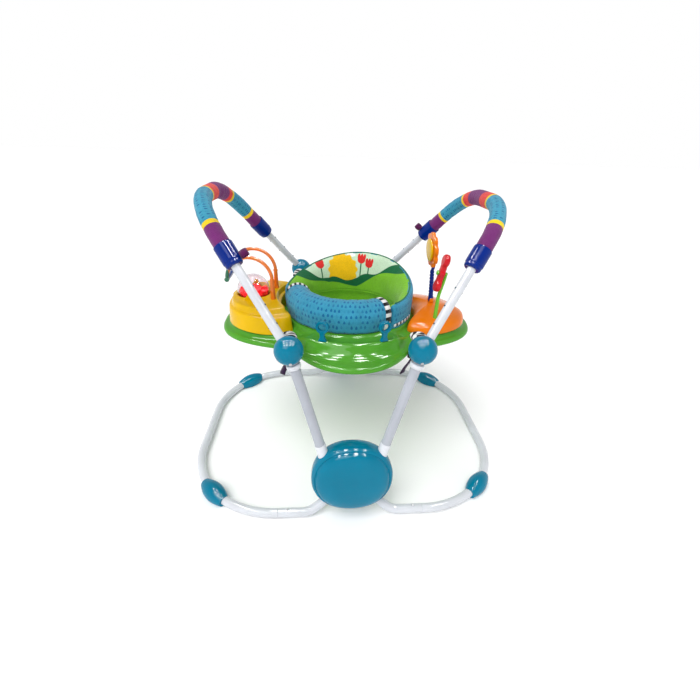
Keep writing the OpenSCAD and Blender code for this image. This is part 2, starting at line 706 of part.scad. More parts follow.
module tray_shell() {
  count = 80;
  sections = [for (i = [0:count - 1]) tray_section(360 * (i + 0.5) / count)];
  color("limegreen") hoop([for (k = [0:len(sections[0]) - 1]) [for (i = [0:count - 1])
    let (a = 360 * (i + 0.5) / count, p = sections[i][k]) [p.x * cos(a), p.x * sin(a), p.y]]]);
}

module seat_track() {
  color("white") translate([0, 0, flange_z]) rotate_extrude($fn = 96) polygon([
    [track_r - 8, 0], [track_r - 0.6, 0], [track_r - 0.6, track_t], [track_r - 3, track_t],
    [track_r - 3.5, track_t - 1], [track_r - 6, track_t - 1], [track_r - 6.5, track_t],
    [track_r - 8, track_t]]);
}

// Standing teal rings for clipping toys to the front of the tray
module toy_rings() {
  foot = 11;
  ring_a = [-110, -70];
  face = [-15, 18];
  color("darkturquoise") for (i = [0, 1]) let (r = lobe(ring_a[i]) - skirt(ring_a[i]) - 6)
    translate([r * cos(ring_a[i]), r * sin(ring_a[i]), deck_z + fit]) rotate([90, 0, face[i]])
      linear_extrude(toy_ring_t, center = true) difference() {
        union() {
          translate([0, toy_ring_h]) circle(d = toy_ring_d);
          polygon([[-foot, 0], [foot, 0], [foot - 2, 3], [5.5, 12], [7, toy_ring_h - 14],
            [-7, toy_ring_h - 14], [-5.5, 12], [2 - foot, 3]]);
        }
        translate([0, toy_ring_h]) circle(d = toy_hole_d);
      }
}

// Toy bases: outline on a side lobe between the tray's edge and the seat, seen from its own centre
function in_lobe(p) = norm(p) < lobe(atan2(p.y, p.x)) - base_inset;
function reach(d, lo, hi, n) = n == 0 ? lo : let (m = (lo + hi) / 2)
  in_lobe([toy_x, 0] + d * m) ? reach(d, m, hi, n - 1) : reach(d, lo, m, n - 1);
function to_ring(a) = let (q = pow(ring_edge, 2) - pow(toy_x * sin(a), 2))
  cos(a) < 0 && q > 0 ? -toy_x * cos(a) - sqrt(q) : 500;
function to_side(a) = let (q = abs(sin(a)) - cos(a) * tan(base_span))
  q > 0.01 ? min(toy_x * tan(base_span) / q, 500) : 500;
function base_reach(a) = let (v = [reach([cos(a), sin(a)], 0, 300, 14), to_ring(a), to_side(a)])
  pow(pow(v[0], -9) + pow(v[1], -9) + pow(v[2], -9), -1 / 9);
base_sides = 44;
base_line = [for (i = [0:base_sides - 1]) let (a = 360 * i / base_sides) base_reach(a) * [cos(a), sin(a)]];
function base_ring(k, z) = [for (p = base_line) [toy_x + p.x * k, p.y * k, z]];
function well_ring(r, z) = [for (i = [0:base_sides - 1]) let (a = 360 * i / base_sides)
  [toy_x + r * cos(a), r * sin(a), z]];

// The right base rises from its outline to a low peak under the flower
function mound_ring(k, z) = [for (p = base_line)
  [mix(flower_x, toy_x, k) + p.x * k, p.y * k, base_floor + z]];

module left_toy_base() {
  rows = [[1, base_floor], [1, base_floor + 4], [0.965, shelf_z - 8], [0.94, shelf_z - 2],
    [0.9, shelf_z], [0.85, shelf_z + 0.5], [0.835, shelf_z + 3], [0.81, turret_z - 3], [0.77, turret_z]];
  inner = [[0.745, turret_z - base_wall], [0.785, turret_z - 5], [0.81, shelf_z - base_wall],
    [0.9, shelf_z - base_wall - 1], [0.935, shelf_z - 10], [0.968, base_floor]];
  color("gold") mirror([1, 0, 0]) hoop(concat([for (r = rows) base_ring(r[0], r[1])],
    [well_ring(well_r + 3, turret_z), well_ring(well_r, turret_z - 3), well_ring(well_r, base_floor),
     well_ring(well_r + base_wall, base_floor), well_ring(well_r + base_wall + 1, turret_z - base_wall)],
    [for (r = inner) base_ring(r[0], r[1])]));
}

module right_toy_base() {
  h = mound_z - base_floor;
  rows = [[1, 0], [1, 0.1 * h], [0.985, 0.2 * h], [0.95, 0.3 * h], [0.88, 0.43 * h], [0.75, 0.58 * h],
    [0.58, 0.74 * h], [0.38, 0.9 * h], [0.2, 0.99 * h], [0.12, h]];
  inner = [for (i = [len(rows) - 1:-1:1]) [rows[i][0] * 0.965, rows[i][1] - base_wall]];
  color("darkorange") {
    difference() {
      loft(concat([for (r = inner) mound_ring(r[0], r[1])], [mound_ring(0.965, 0)],
        [for (r = rows) mound_ring(r[0], r[1])]));
      translate(stem_foot) cylinder(d = stem_d + 2 * fit, h = 40);
    }
    for (s = [-1, 1]) translate([flower_x, s * (barrel_len / 2 + run + lug_t / 2), stem_pivot])
      rotate([90, 0, 0]) linear_extrude(lug_t, center = true) difference() {
        union() {
          circle(r = stem_ball - 1);
          translate([1 - stem_ball, -stem_ball - 1]) square([2 * stem_ball - 2, stem_ball + 1]);
        }
        circle(d = pin_d + 2 * run);
      }
  }
}

// Pointed arms that carry the rolling ball's axle
module ball_cradle() {
  half = 20;
  tip = 15;
  color("gold") for (s = [-1, 1]) translate([-toy_x, s * (arm_y + arm_t / 2), 0]) rotate([90, 0, 0])
    linear_extrude(arm_t, center = true) difference() {
      union() {
        translate([0, toy_ball_z]) circle(r = 9);
        polygon([[-half, turret_z + fit], [half, turret_z + fit], [half - 4, turret_z + 5],
          [7, toy_ball_z + 6], [3, toy_ball_z + tip], [-3, toy_ball_z + tip],
          [-7, toy_ball_z + 6], [4 - half, turret_z + 5]]);
      }
      translate([0, toy_ball_z]) circle(d = toy_axle_d + 0.1);
    }
}

module toy_ball_shell() {
  r = toy_ball_d / 2;
  wall = 2.5;
  color("lightcyan", 0.4) translate([-toy_x, 0, toy_ball_z]) difference() {
    sphere(r = r, $fn = 64);
    sphere(r = r - wall, $fn = 64);
    rotate([90, 0, 0]) cylinder(d = toy_axle_d + 2 * fit, h = 3 * r, center = true);
  }
}

// Scalloped red cup on the axle inside the clear ball
module toy_ball_core() {
  r = toy_ball_d / 2 - 4;
  len = 2 * (arm_y + arm_t - 1);
  color("crimson") translate([-toy_x, 0, toy_ball_z]) {
    rotate([90, 0, 0]) cylinder(d = toy_axle_d, h = len, center = true);
    difference() {
      sphere(r = r, $fn = 64);
      translate([0, 0, r + 4]) cube(2 * r + 2, center = true);
      for (i = [0:5]) rotate([0, 0, 60 * i]) translate([r, 0, 6]) rotate([0, 90, 0])
        cylinder(r = 12, h = r, center = true);
    }
  }
}

// Two bowed rails on ringed posts over the rolling ball, joined at their far ends by a cross bar
module bead_rails() {
  ring_z = rail_z - 4;
  bar_d = rail_d + 3;
  color("darkorange") {
    for (s = [-1, 1]) translate([-toy_x, s * rail_y, 0]) {
      translate([0, 0, rail_z]) rotate([90, 0, 0]) rotate_extrude(angle = 180, $fn = 72)
        translate([rail_r, 0]) circle(d = rail_d);
      translate([rail_r, 0, turret_z + fit]) {
        cylinder(d1 = rail_d + 4.5, d2 = rail_d + 1.5, h = ring_z - turret_z - fit);
        translate([0, 0, ring_z - turret_z - fit]) cylinder(d = rail_d + 3.5, h = 4);
      }
    }
    translate([-toy_x - rail_r, 0, rail_z]) rotate([90, 0, 0])
      cylinder(d = bar_d, h = 2 * rail_y + bar_d, center = true);
  }
}

// Flower on a bending stem, facing the seat
module at_flower() {
  translate([flower_x, 0, stem_pivot]) rotate([0, -flower_lean, 0]) children();
}

module flower_stem() {
  stem_top = stem_len - flower_d / 2 - 6;
  color("mediumblue") at_flower() {
    rotate([90, 0, 0]) cylinder(r = stem_ball, h = barrel_len, center = true);
    rotate([90, 0, 0]) cylinder(d = pin_d, h = barrel_len + 2 * lug_t, center = true);
    cylinder(d1 = 12, d2 = 9, h = stem_top);
    for (z = [14:12:stem_top - 8]) translate([0, 0, z]) cylinder(d = 13, h = 5);
    translate([3, 0, stem_len]) rotate([0, 90, 0]) cylinder(d = 18, h = 6);
    translate([6, 0, stem_top - 3]) cylinder(d = 6, h = stem_len - stem_top + 3);
    translate([-4, 0, stem_top - 1]) rotate([0, 90, 0]) cylinder(d = 10, h = 12);
  }
}

module flower_petals() {
  color("orange") at_flower() translate([-8, 0, stem_len]) rotate([0, 90, 0]) linear_extrude(10.8) union() {
    circle(d = flower_d * 0.7);
    for (i = [0:petals - 1]) rotate(360 * (i + 0.5) / petals)
      translate([flower_d / 2 - 15, 0]) circle(r = 15);
  }
}

module flower_disc() {
  color("gold") at_flower() translate([-8 - fit, 0, stem_len]) rotate([0, -90, 0]) rotate_extrude()
    polygon([[0, 0], [31, 0], [32, 1.5], [31.5, 4], [29, 5.4], [20, 6.6], [0, 7.2]]);
}

// Green stalk with the spinner's axle and its round end knob
module at_spinner() {
  translate(spin_at) rotate([0, -90 + spin_tilt, 0]) children();
}

module spinner_stem() {
  hub = spin_at + [cos(spin_tilt), 0, -sin(spin_tilt)] * (spin_back + 7);
  bow = [6, 0, 0];
  root = stem_foot + [0, 0, 26];
  path = [for (i = [0:7]) let (t = i / 7) mix(root, hub, t) + bow * sin(180 * t)];
  rings = [for (i = [0:7]) let (d = unit(path[min(i + 1, 7)] - path[max(i - 1, 0)]), u = cross([0, 1, 0], d))
    [for (k = [0:11])
      path[i] + (u * cos(30 * k) + [0, 1, 0] * sin(30 * k)) * mix(stem_d / 2 - 0.6, 5.5, i / 7)]];
  color("yellowgreen") {
    loft(rings);
    translate(stem_foot) cylinder(d = stem_d, h = 30);
    at_spinner() {
      translate([0, 0, -spin_back - 13]) cylinder(d = 14, h = 13);
      translate([0, 0, -spin_back]) cylinder(d = 7, h = spin_back + 10);
      translate([0, 0, 8.6]) cylinder(d1 = 13, d2 = 8, h = 5);
    }
  }
}

module spinner() {
  lobe_r = 17;
  waist = 8;
  t = 15;
  reach_r = spinner_len / 2 - lobe_r;
  color("red") at_spinner() difference() {
    union() {
      for (s = [-1, 1]) translate([s * reach_r, 0, -t / 2]) rotate_extrude()
        polygon([[0, 0], [lobe_r - 4, 0], [lobe_r - 1.2, 1.4], [lobe_r, 4], [lobe_r, t - 4],
          [lobe_r - 1.2, t - 1.4], [lobe_r - 4, t], [0, t]]);
      translate([-reach_r, -waist, -t / 2]) cube([2 * reach_r, 2 * waist, t]);
      cylinder(r = 11, h = t, center = true);
    }
    cylinder(d = 7.1, h = 2 * t, center = true);
  }
}

// Plastic hoop that turns in the tray and carries the fabric seat
module in_seat() {
  rotate([0, 0, -seat_turn]) children();
}

module seat_ring() {
  z = flange_z + track_t + run;
  in = ring_r - ring_wall;
  low = flange_z - 24;
  color("white") rotate_extrude($fn = 96) polygon([
    [ring_r - 5, low], [ring_r, low], [ring_r, z], [track_r - 1, z], [track_r - 1, z + 4],
    [ring_r + 2, z + 6],
    [ring_r + 2, ring_top - 1], [ring_r + 1, ring_top], [in, ring_top], [in, ring_top - 4],
    [ring_r - 6, ring_top - 5], [ring_r - 5, ring_top - 7]]);
}

// Padded wall from one end of the bolster round the back to the other end
function wall_top(a) = let (t = min(max((a - 75) * 180 / 105, 0), 360))
  mix(seat_side_z, seat_back_z, pow(0.5 - 0.5 * cos(t), 0.8));
function wall_section(a) = let (
    z0 = ring_top + run, top = wall_top(a), h = top - z0, in = ring_r - ring_wall - 1,
    puff = 1.5 * cos(a * 12))
  [[in, z0 + 4], [in - 3 + puff, z0 + 0.4 * h], [in + 6 + puff, z0 + 0.74 * h], [in + 16, top - 6],
   [in + 25, top], [in + 32, top - 2], [seat_r - 1.5, top - 11], [seat_r - 0.5 + puff / 3, z0 + 0.5 * h],
   [seat_r - 1, z0 + 0.22 * h], [seat_r - 4, z0 + 3], [seat_r - 10, z0]];

module seat_wall() {
  steps = 56;
  first = bolster_span + 5;
  color("skyblue") in_seat() loft([for (i = [0:steps]) let (a = mix(first, 360 - first, i / steps))
    [for (p = wall_section(a)) [p.x * sin(a), -p.x * cos(a), p.y]]]);
}

// Front bolster with a full crown, drawn-in ends and two sewn creases
function bolster_ring(t) = let (
    a = bolster_span * t, end = pow(1 - pow(abs(t), 6), 0.5) * 0.62 + 0.38,
    r = bolster_d / 2 - 0.4)
  [for (i = [0:15]) let (
      c = 22.5 * i, crease = 3 * (exp(-pow((c - 150) / 9, 2)) + exp(-pow((c - 202) / 9, 2))),
      full = c > 180 && c < 270 ? pow(pow(abs(cos(c)), 3) + pow(abs(sin(c)), 3), -1 / 3) : 1,
      k = (r * full - crease) * end, x = bolster_r - k * cos(c), z = bolster_z + k * sin(c))
    [x * sin(a), -x * cos(a), max(z, ring_top + run)]];

module bolster() {
  steps = 34;
  color("deepskyblue") in_seat()
    loft([for (i = [0:steps]) bolster_ring(sin(90 * (2 * i / steps - 1)) * 0.995)]);
}

// Hanging fabric seat with two leg holes
module seat_sling() {
  w = 2.4;
  top = flange_z - 24 - run;
  r = ring_r - 0.5;
  h = top - sling_z;
  arc = [for (i = [0:10]) let (a = 9 * i) [r * pow(cos(a), 0.7), top - h * pow(sin(a), 1.3)]];
  color("palegreen") in_seat() difference() {
    rotate_extrude($fn = 72) polygon(concat(arc, [for (i = [10:-1:0]) let (a = 9 * i)
      [(r - w) * pow(cos(a), 0.7), top - (h - w) * pow(sin(a), 1.3)]]));
    for (s = [-1, 1]) rotate([0, 0, s * 42]) translate([0, 0, sling_z + 0.47 * h])
      rotate([90, 0, 0]) cylinder(d = leg_hole_d, h = 2 * r);
  }
}

hub_cover(-1);  // front_hub_cover
hub_back(-1);  // front_hub_back
hub_cover(1);  // back_hub_cover
hub_back(1);  // back_hub_back
hub_tubes();
base_tube(-1, -1);  // base_tube_front_left
base_tube(1, -1);  // base_tube_front_right
base_tube(-1, 1);  // base_tube_back_left
base_tube(1, 1);  // base_tube_back_right
floor_feet(-1);  // floor_feet_front
floor_feet(1);  // floor_feet_back
snap_button(-1, -1);  // snap_button_front_left
snap_button(1, -1);  // snap_button_front_right
snap_button(-1, 1);  // snap_button_back_left
snap_button(1, 1);  // snap_button_back_right
lower_leg(-1, -1);  // lower_leg_front_left
lower_leg(1, -1);  // lower_leg_front_right
lower_leg(-1, 1);  // lower_leg_back_left
lower_leg(1, 1);  // lower_leg_back_right
leg_sleeves();
leg_collars();
ball(-1, -1);  // ball_front_left
ball(1, -1);  // ball_front_right
ball(-1, 1);  // ball_back_left
ball(1, 1);  // ball_back_right
ball_screws();
strap_guides();
suspension_springs();
arch_tube(-1);  // arch_tube_left
arch_tube(1);  // arch_tube_right
grip(-1);  // grip_left
grip(1);  // grip_right
grip_caps(-1);  // grip_caps_left
grip_caps(1);  // grip_caps_right
arch_studs();
hang_loops();
strap_runs();
straps();
strap_covers();
tray_shell();
seat_track();
strap_buckles();
strap_tails();
left_toy_base();
right_toy_base();
ball_cradle();
toy_rings();
bead_rails();
spinner_stem();
toy_ball_shell();
toy_ball_core();
flower_stem();
flower_petals();
flower_disc();
spinner();
seat_ring();
seat_wall();
bolster();
seat_sling();
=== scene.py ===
from math import atan, atan2, copysign, cos, degrees, exp, hypot, pi, radians, sin, sqrt, tan, tau
import bpy
import bmesh
from mathutils import Vector, Matrix, noise


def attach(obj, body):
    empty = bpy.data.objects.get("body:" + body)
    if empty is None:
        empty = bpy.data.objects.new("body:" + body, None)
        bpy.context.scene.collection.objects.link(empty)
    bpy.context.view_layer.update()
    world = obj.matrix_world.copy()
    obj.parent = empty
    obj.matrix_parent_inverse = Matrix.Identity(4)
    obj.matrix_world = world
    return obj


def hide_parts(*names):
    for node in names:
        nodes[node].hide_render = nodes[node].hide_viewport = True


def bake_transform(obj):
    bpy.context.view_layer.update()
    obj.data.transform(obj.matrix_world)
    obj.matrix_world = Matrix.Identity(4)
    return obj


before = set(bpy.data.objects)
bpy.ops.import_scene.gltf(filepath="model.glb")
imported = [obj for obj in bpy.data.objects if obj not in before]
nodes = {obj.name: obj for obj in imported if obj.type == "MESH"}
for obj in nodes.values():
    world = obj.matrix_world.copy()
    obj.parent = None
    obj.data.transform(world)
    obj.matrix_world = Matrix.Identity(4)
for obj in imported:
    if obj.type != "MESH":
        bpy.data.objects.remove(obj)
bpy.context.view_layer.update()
mm = 0.001
print("frame loaded:", len(nodes), "nodes")


# camera and light
viewSettings = {
    "place": (-0.0783, -1.0434, 0.9238), "pitch": 0.516, "yaw": 0.085, "roll": 0.039,
    "lens": 19.275, "sensor": 36, "nearest": 0.05,
}


def makeCamera(s):
    pitch, yaw, roll = s["pitch"], s["yaw"], s["roll"]
    ahead = Vector((sin(yaw) * cos(pitch), cos(yaw) * cos(pitch), -sin(pitch)))
    right = Vector((cos(yaw), -sin(yaw), 0))
    up = right.cross(ahead)
    side = right * cos(roll) + up * sin(roll)
    top = up * cos(roll) - right * sin(roll)
    data = bpy.data.cameras.new("camera")
    data.sensor_width = s["sensor"]
    data.lens = s["lens"]
    data.clip_start = s["nearest"]
    cam = bpy.data.objects.new("camera", data)
    turn = Matrix((side, top, -ahead)).transposed().to_4x4()
    cam.matrix_world = Matrix.Translation(s["place"]) @ turn
    bpy.context.collection.objects.link(cam)
    bpy.context.scene.camera = cam


lightSettings = {
    "horizon": 1.0, "zenith": 0.5, "fade": (0.26, 0.62), "panelAim": (0, 0, 0.4),
    "sun": {"from": (-0.55, -0.8, 1.5), "strength": 2.0, "angle": 0.7},
    "panels": [(x, y, 2.7) for x in (-1.3, -0.45, 0.4, 1.25) for y in (-1.0, -0.2, 0.6)],
    "panelWatts": 26, "panelSize": 0.3,
}


def addLamp(name, kind, place, energy, aim=(0, 0, 0)):
    data = bpy.data.lights.new(name, kind)
    data.energy = energy
    lamp = bpy.data.objects.new(name, data)
    away = Vector(place) - Vector(aim)
    lamp.matrix_world = Matrix.Translation(place) @ away.to_track_quat("Z", "Y").to_matrix().to_4x4()
    lamp.visible_diffuse = kind != "AREA"  # the small panels only make highlights
    bpy.context.collection.objects.link(lamp)
    return data


def makeLights(s):
    world = bpy.context.scene.world or bpy.data.worlds.new("world")
    bpy.context.scene.world = world
    world.use_nodes = True
    tree = world.node_tree
    ground = tree.nodes["Background"]
    ground.inputs["Color"].default_value = (1, 1, 1, 1)
    way = addNode(tree, "ShaderNodeTexCoord").outputs["Generated"]
    up = axesOf(tree, way)[2]
    tree.links.new(ramp(tree, up, *s["fade"], s["horizon"], s["zenith"]), ground.inputs["Strength"])
    addLamp("sun", "SUN", s["sun"]["from"], s["sun"]["strength"]).angle = s["sun"]["angle"]
    for i, place in enumerate(s["panels"]):
        addLamp("panel%d" % i, "AREA", place, s["panelWatts"], s["panelAim"]).size = s["panelSize"]


# material helpers
def addNode(tree, kind, inputs=None, **props):
    node = tree.nodes.new(kind)
    for key, value in props.items():
        setattr(node, key, value)
    for key, value in (inputs or {}).items():
        if isinstance(value, bpy.types.NodeSocket):
            tree.links.new(value, node.inputs[key])
        else:
            node.inputs[key].default_value = value
    return node


def calc(tree, op, *values):
    return addNode(tree, "ShaderNodeMath", dict(enumerate(values)), operation=op).outputs[0]


def mixColour(tree, factor, a, b, how="MIX"):
    node = addNode(tree, "ShaderNodeMix", {0: factor, 6: a, 7: b}, data_type="RGBA", blend_type=how)
    return node.outputs[2]


def ramp(tree, factor, low, high, a=0.0, b=1.0):
    return addNode(tree, "ShaderNodeMapRange", {"Value": factor, 1: low, 2: high, 3: a, 4: b}).outputs[0]


def square(tree, value):
    return calc(tree, "POWER", calc(tree, "ABSOLUTE", value), 2.0)


def objectPlace(tree):
    return addNode(tree, "ShaderNodeTexCoord").outputs["Object"]


def uvPlace(tree):
    return addNode(tree, "ShaderNodeUVMap", uv_map="UVMap").outputs[0]


def axesOf(tree, vector):
    return addNode(tree, "ShaderNodeSeparateXYZ", {0: vector}).outputs


def noiseAt(tree, place, scale, detail):
    settings = {"Vector": place, "Scale": scale, "Detail": detail}
    return addNode(tree, "ShaderNodeTexNoise", settings).outputs["Fac"]


def rgb(r, g, b):  # a display colour as linear light
    linear = (((v / 255 + 0.055) / 1.055) ** 2.4 if v > 10 else v / 255 / 12.92 for v in (r, g, b))
    return tuple(linear) + (1.0,)


def newGroup(name, inputs, outputs):
    tree = bpy.data.node_groups.new(name, "ShaderNodeTree")
    for way, labels in (("INPUT", inputs), ("OUTPUT", outputs)):
        for label in labels:
            kind = "NodeSocketColor" if label == "Color" else "NodeSocketFloat"
            tree.interface.new_socket(label, in_out=way, socket_type=kind)
    return tree, tree.nodes.new("NodeGroupInput").outputs, tree.nodes.new("NodeGroupOutput").inputs


def makeMouldGrain():  # colour drift, gloss drift and faint sink marks of moulded plastic
    tree, ins, outs = newGroup("mouldGrain", ["Color", "Rough"], ["Color", "Roughness", "Height"])
    place = objectPlace(tree)
    drift = noiseAt(tree, place, 14.0, 3.0)
    peel = noiseAt(tree, place, 420.0, 2.0)
    dust = noiseAt(tree, place, 90.0, 6.0)
    shade = ramp(tree, drift, 0.3, 0.7, 0.93, 1.05)
    tree.links.new(mixColour(tree, 1.0, ins["Color"], shade, "MULTIPLY"), outs["Color"])
    spread = calc(tree, "ADD", ins["Rough"], ramp(tree, dust, 0.35, 0.7, -0.03, 0.07))
    tree.links.new(spread, outs["Roughness"])
    tree.links.new(calc(tree, "ADD", calc(tree, "MULTIPLY", peel, 0.25), drift), outs["Height"])
    return tree


def makeClothWeave():  # crossed yarns on object coordinates with a soft fleck
    tree, ins, outs = newGroup("clothWeave", ["Color", "Yarns"], ["Color", "Height"])
    place = objectPlace(tree)
    waves = [calc(tree, "SINE", calc(tree, "MULTIPLY", axis, ins["Yarns"])) for axis in axesOf(tree, place)]
    crossings = [calc(tree, "MULTIPLY", waves[a], waves[b]) for a, b in ((0, 2), (1, 2), (0, 1))]
    over = calc(tree, "ADD", calc(tree, "ADD", crossings[0], crossings[1]), crossings[2])
    fleck = noiseAt(tree, place, 260.0, 4.0)
    cloud = ramp(tree, noiseAt(tree, place, 22.0, 2.0), 0.3, 0.7, 0.93, 1.05)
    shade = calc(tree, "MULTIPLY", ramp(tree, fleck, 0.3, 0.7, 0.9, 1.06), cloud)
    shade = calc(tree, "MULTIPLY", shade, ramp(tree, over, -1.2, 1.2, 0.94, 1.03))
    tree.links.new(mixColour(tree, 1.0, ins["Color"], shade, "MULTIPLY"), outs["Color"])
    tree.links.new(calc(tree, "ADD", over, calc(tree, "MULTIPLY", fleck, 0.8)), outs["Height"])
    return tree


def makeDropPrint():  # staggered rows of small drops, one to a cell, some left out
    tree, ins, outs = newGroup("dropPrint", ["Across", "Along", "Width"], ["Mask"])
    row = calc(tree, "FLOOR", ins["Along"])
    shift = calc(tree, "MULTIPLY", calc(tree, "MODULO", calc(tree, "ABSOLUTE", row), 2.0), 0.5)
    jitter = calc(tree, "MULTIPLY", calc(tree, "SINE", calc(tree, "MULTIPLY", row, 12.9)), 0.2)
    across = calc(tree, "ADD", calc(tree, "ADD", ins["Across"], shift), jitter)
    cell = addNode(tree, "ShaderNodeCombineXYZ", {0: calc(tree, "FLOOR", across), 1: row}).outputs[0]
    luck = addNode(tree, "ShaderNodeTexWhiteNoise", {"Vector": cell}).outputs
    chance = addNode(tree, "ShaderNodeSeparateColor", {0: luck["Color"]}).outputs
    x = calc(tree, "SUBTRACT", calc(tree, "FRACT", across), ramp(tree, chance[0], 0.0, 1.0, 0.36, 0.64))
    y = calc(tree, "SUBTRACT", calc(tree, "FRACT", ins["Along"]), ramp(tree, chance[1], 0.0, 1.0, 0.42, 0.58))
    wide = calc(tree, "MULTIPLY", ins["Width"], calc(tree, "SUBTRACT", 0.95, calc(tree, "MULTIPLY", y, 1.3)))
    far = square(tree, calc(tree, "DIVIDE", x, wide))
    far = calc(tree, "ADD", far, square(tree, calc(tree, "DIVIDE", y, 0.3)))
    drop = ramp(tree, far, 1.25, 0.75)
    strong = ramp(tree, chance[2], 0.1, 0.5, 0.15, 1.0)
    tree.links.new(calc(tree, "MULTIPLY", drop, strong), outs["Mask"])
    return tree


mouldGrain = makeMouldGrain()
clothWeave = makeClothWeave()
dropPrint = makeDropPrint()


def useGroup(tree, group, inputs):
    return addNode(tree, "ShaderNodeGroup", inputs, node_tree=group).outputs


def startMaterial(name):
    mat = bpy.data.materials.new(name)
    mat.use_nodes = True
    tree = mat.node_tree
    return mat, tree, tree.nodes["Principled BSDF"]


def setInputs(shader, values):
    for label, value in values.items():
        shader.inputs[label].default_value = value


def bumpInto(tree, shader, height, strength, distance):
    bump = addNode(tree, "ShaderNodeBump", {"Height": height, "Strength": strength, "Distance": distance})
    tree.links.new(bump.outputs[0], shader.inputs["Normal"])


def grainInto(tree, shader, colour, rough):
    grain = useGroup(tree, mouldGrain, {"Color": colour, "Rough": rough})
    tree.links.new(grain["Color"], shader.inputs["Base Color"])
    tree.links.new(grain["Roughness"], shader.inputs["Roughness"])
    return grain["Height"]


def plastic(name, colour, rough=0.2, coat=0.1, bump=0.1):
    mat, tree, shader = startMaterial(name)
    bumpInto(tree, shader, grainInto(tree, shader, colour, rough), bump, 0.0006)
    setInputs(shader, {"Specular IOR Level": 0.13, "Coat Weight": coat, "Coat Roughness": 0.04})
    return mat


def cloth(name, colour=None, yarns=2600.0, paint=None):  # paint gives a colour, or a colour and a raised mask
    mat, tree, shader = startMaterial(name)
    base = paint(tree) if paint else colour
    base, puff = base if isinstance(base, list) else (base, None)
    weave = useGroup(tree, clothWeave, {"Color": base, "Yarns": yarns})
    tree.links.new(weave["Color"], shader.inputs["Base Color"])
    height = weave["Height"]
    if puff:
        height = calc(tree, "ADD", height, calc(tree, "MULTIPLY", puff, 7.0))
    bumpInto(tree, shader, height, 0.35, 0.0007)
    setInputs(shader, {"Roughness": 0.86, "Sheen Weight": 0.2, "Sheen Roughness": 0.5,
                       "Specular IOR Level": 0.05})
    return mat


makeCamera(viewSettings)
makeLights(lightSettings)
bpy.context.scene.view_settings.view_transform = "Standard"


# colours and finishes
tealPlastic = plastic("tealPlastic", rgb(0, 117, 147), 0.08)
greenPlastic = plastic("greenPlastic", rgb(78, 152, 44), 0.09)
yellowPlastic = plastic("yellowPlastic", rgb(226, 180, 0), 0.11)
orangePlastic = plastic("orangePlastic", rgb(232, 120, 8), 0.11)
bluePlastic = plastic("bluePlastic", rgb(0, 38, 126), 0.07)
limePlastic = plastic("limePlastic", rgb(112, 186, 50), 0.22)
redPlastic = plastic("redPlastic", rgb(204, 30, 40), 0.11)
whitePlastic = plastic("whitePlastic", rgb(222, 224, 230), 0.26)
blackPlastic = plastic("blackPlastic", rgb(26, 26, 30), 0.4, 0.0)
studPlastic = plastic("studPlastic", rgb(14, 58, 72), 0.3)
tubeWhite = plastic("tubeWhite", rgb(208, 211, 217), 0.14, 0.2, 0.05)
# a darker copy of the tube white for the lower legs: painted shade of the tray above them
legWhitePaintedShade = plastic("legWhitePaintedShade", rgb(176, 180, 189), 0.16, 0.2, 0.05)
coreRed = plastic("coreRed", rgb(236, 30, 36), 0.12)


def makeSteel():
    mat, tree, shader = startMaterial("dullSteel")
    grainInto(tree, shader, (0.5, 0.5, 0.52, 1), 0.35)
    setInputs(shader, {"Metallic": 1.0})
    return mat


def makeClear():
    mat, tree, shader = startMaterial("clearShell")
    setInputs(shader, {"Base Color": (0.88, 0.81, 0.84, 1), "Transmission Weight": 1.0, "IOR": 1.2})
    scuff = noiseAt(tree, objectPlace(tree), 60.0, 5.0)
    tree.links.new(ramp(tree, scuff, 0.4, 0.7, 0.03, 0.12), shader.inputs["Roughness"])
    return mat


def makeRailPaint():  # orange rails with a dark sleeve over the cross bar
    mat, tree, shader = startMaterial("railPaint")
    part = axesOf(tree, objectPlace(tree))
    isBar = calc(tree, "LESS_THAN", part[0], -0.3278)
    isGreen = calc(tree, "LESS_THAN", part[1], -0.041)
    bar = mixColour(tree, isGreen, rgb(10, 60, 130), rgb(22, 104, 72))
    grainInto(tree, shader, mixColour(tree, isBar, rgb(230, 116, 10), bar), 0.2)
    setInputs(shader, {"Coat Weight": 0.4})
    return mat


railPaint = makeRailPaint()
dullSteel = makeSteel()
clearShell = makeClear()
purpleWeb = cloth("purpleWeb", rgb(94, 24, 84), 5200.0)
darkWeb = cloth("darkWeb", rgb(52, 30, 62), 5200.0)
print("finishes made")


# mesh helpers
def skin(around, rows, place, closed=False, caps=(False, False)):  # rings set by place(turn, row)
    bm = bmesh.new()
    turnKey = bm.verts.layers.float.new("turn")
    rowKey = bm.verts.layers.float.new("row")
    uvKey = bm.loops.layers.uv.new("UVMap")
    ring = bmesh.ops.create_circle(bm, segments=around, radius=1.0)["verts"]
    for v in ring:
        v[turnKey] = (atan2(v.co.y, v.co.x) / tau) % 1.0
    edges = list(bm.edges)
    firstEdges = edges
    count = rows + (1 if closed else 0)
    for r in range(count):
        if r:
            made = bmesh.ops.extrude_edge_only(bm, edges=edges)["geom"]
            ring = [g for g in made if isinstance(g, bmesh.types.BMVert)]
            fresh = set(ring)
            edges = list({e for v in ring for e in v.link_edges if e.other_vert(v) in fresh})
        for v in ring:
            v[rowKey] = r
            v.co = place(v[turnKey], r % rows)
    for face in bm.faces:
        turns = [loop.vert[turnKey] for loop in face.loops]
        wraps = max(turns) - min(turns) > 0.5
        for loop in face.loops:
            turn = loop.vert[turnKey]
            turn += 1 if wraps and turn < 0.5 else 0
            loop[uvKey].uv = (turn, loop.vert[rowKey] / max(count - 1, 1))
    if closed:
        bmesh.ops.remove_doubles(bm, verts=bm.verts, dist=0.001)
    for use, loop in zip(caps, (firstEdges, edges)):
        if use:
            cap = bmesh.ops.contextual_create(bm, geom=loop)["faces"]
            bmesh.ops.poke(bm, faces=cap)
    bmesh.ops.recalc_face_normals(bm, faces=bm.faces)
    return bm


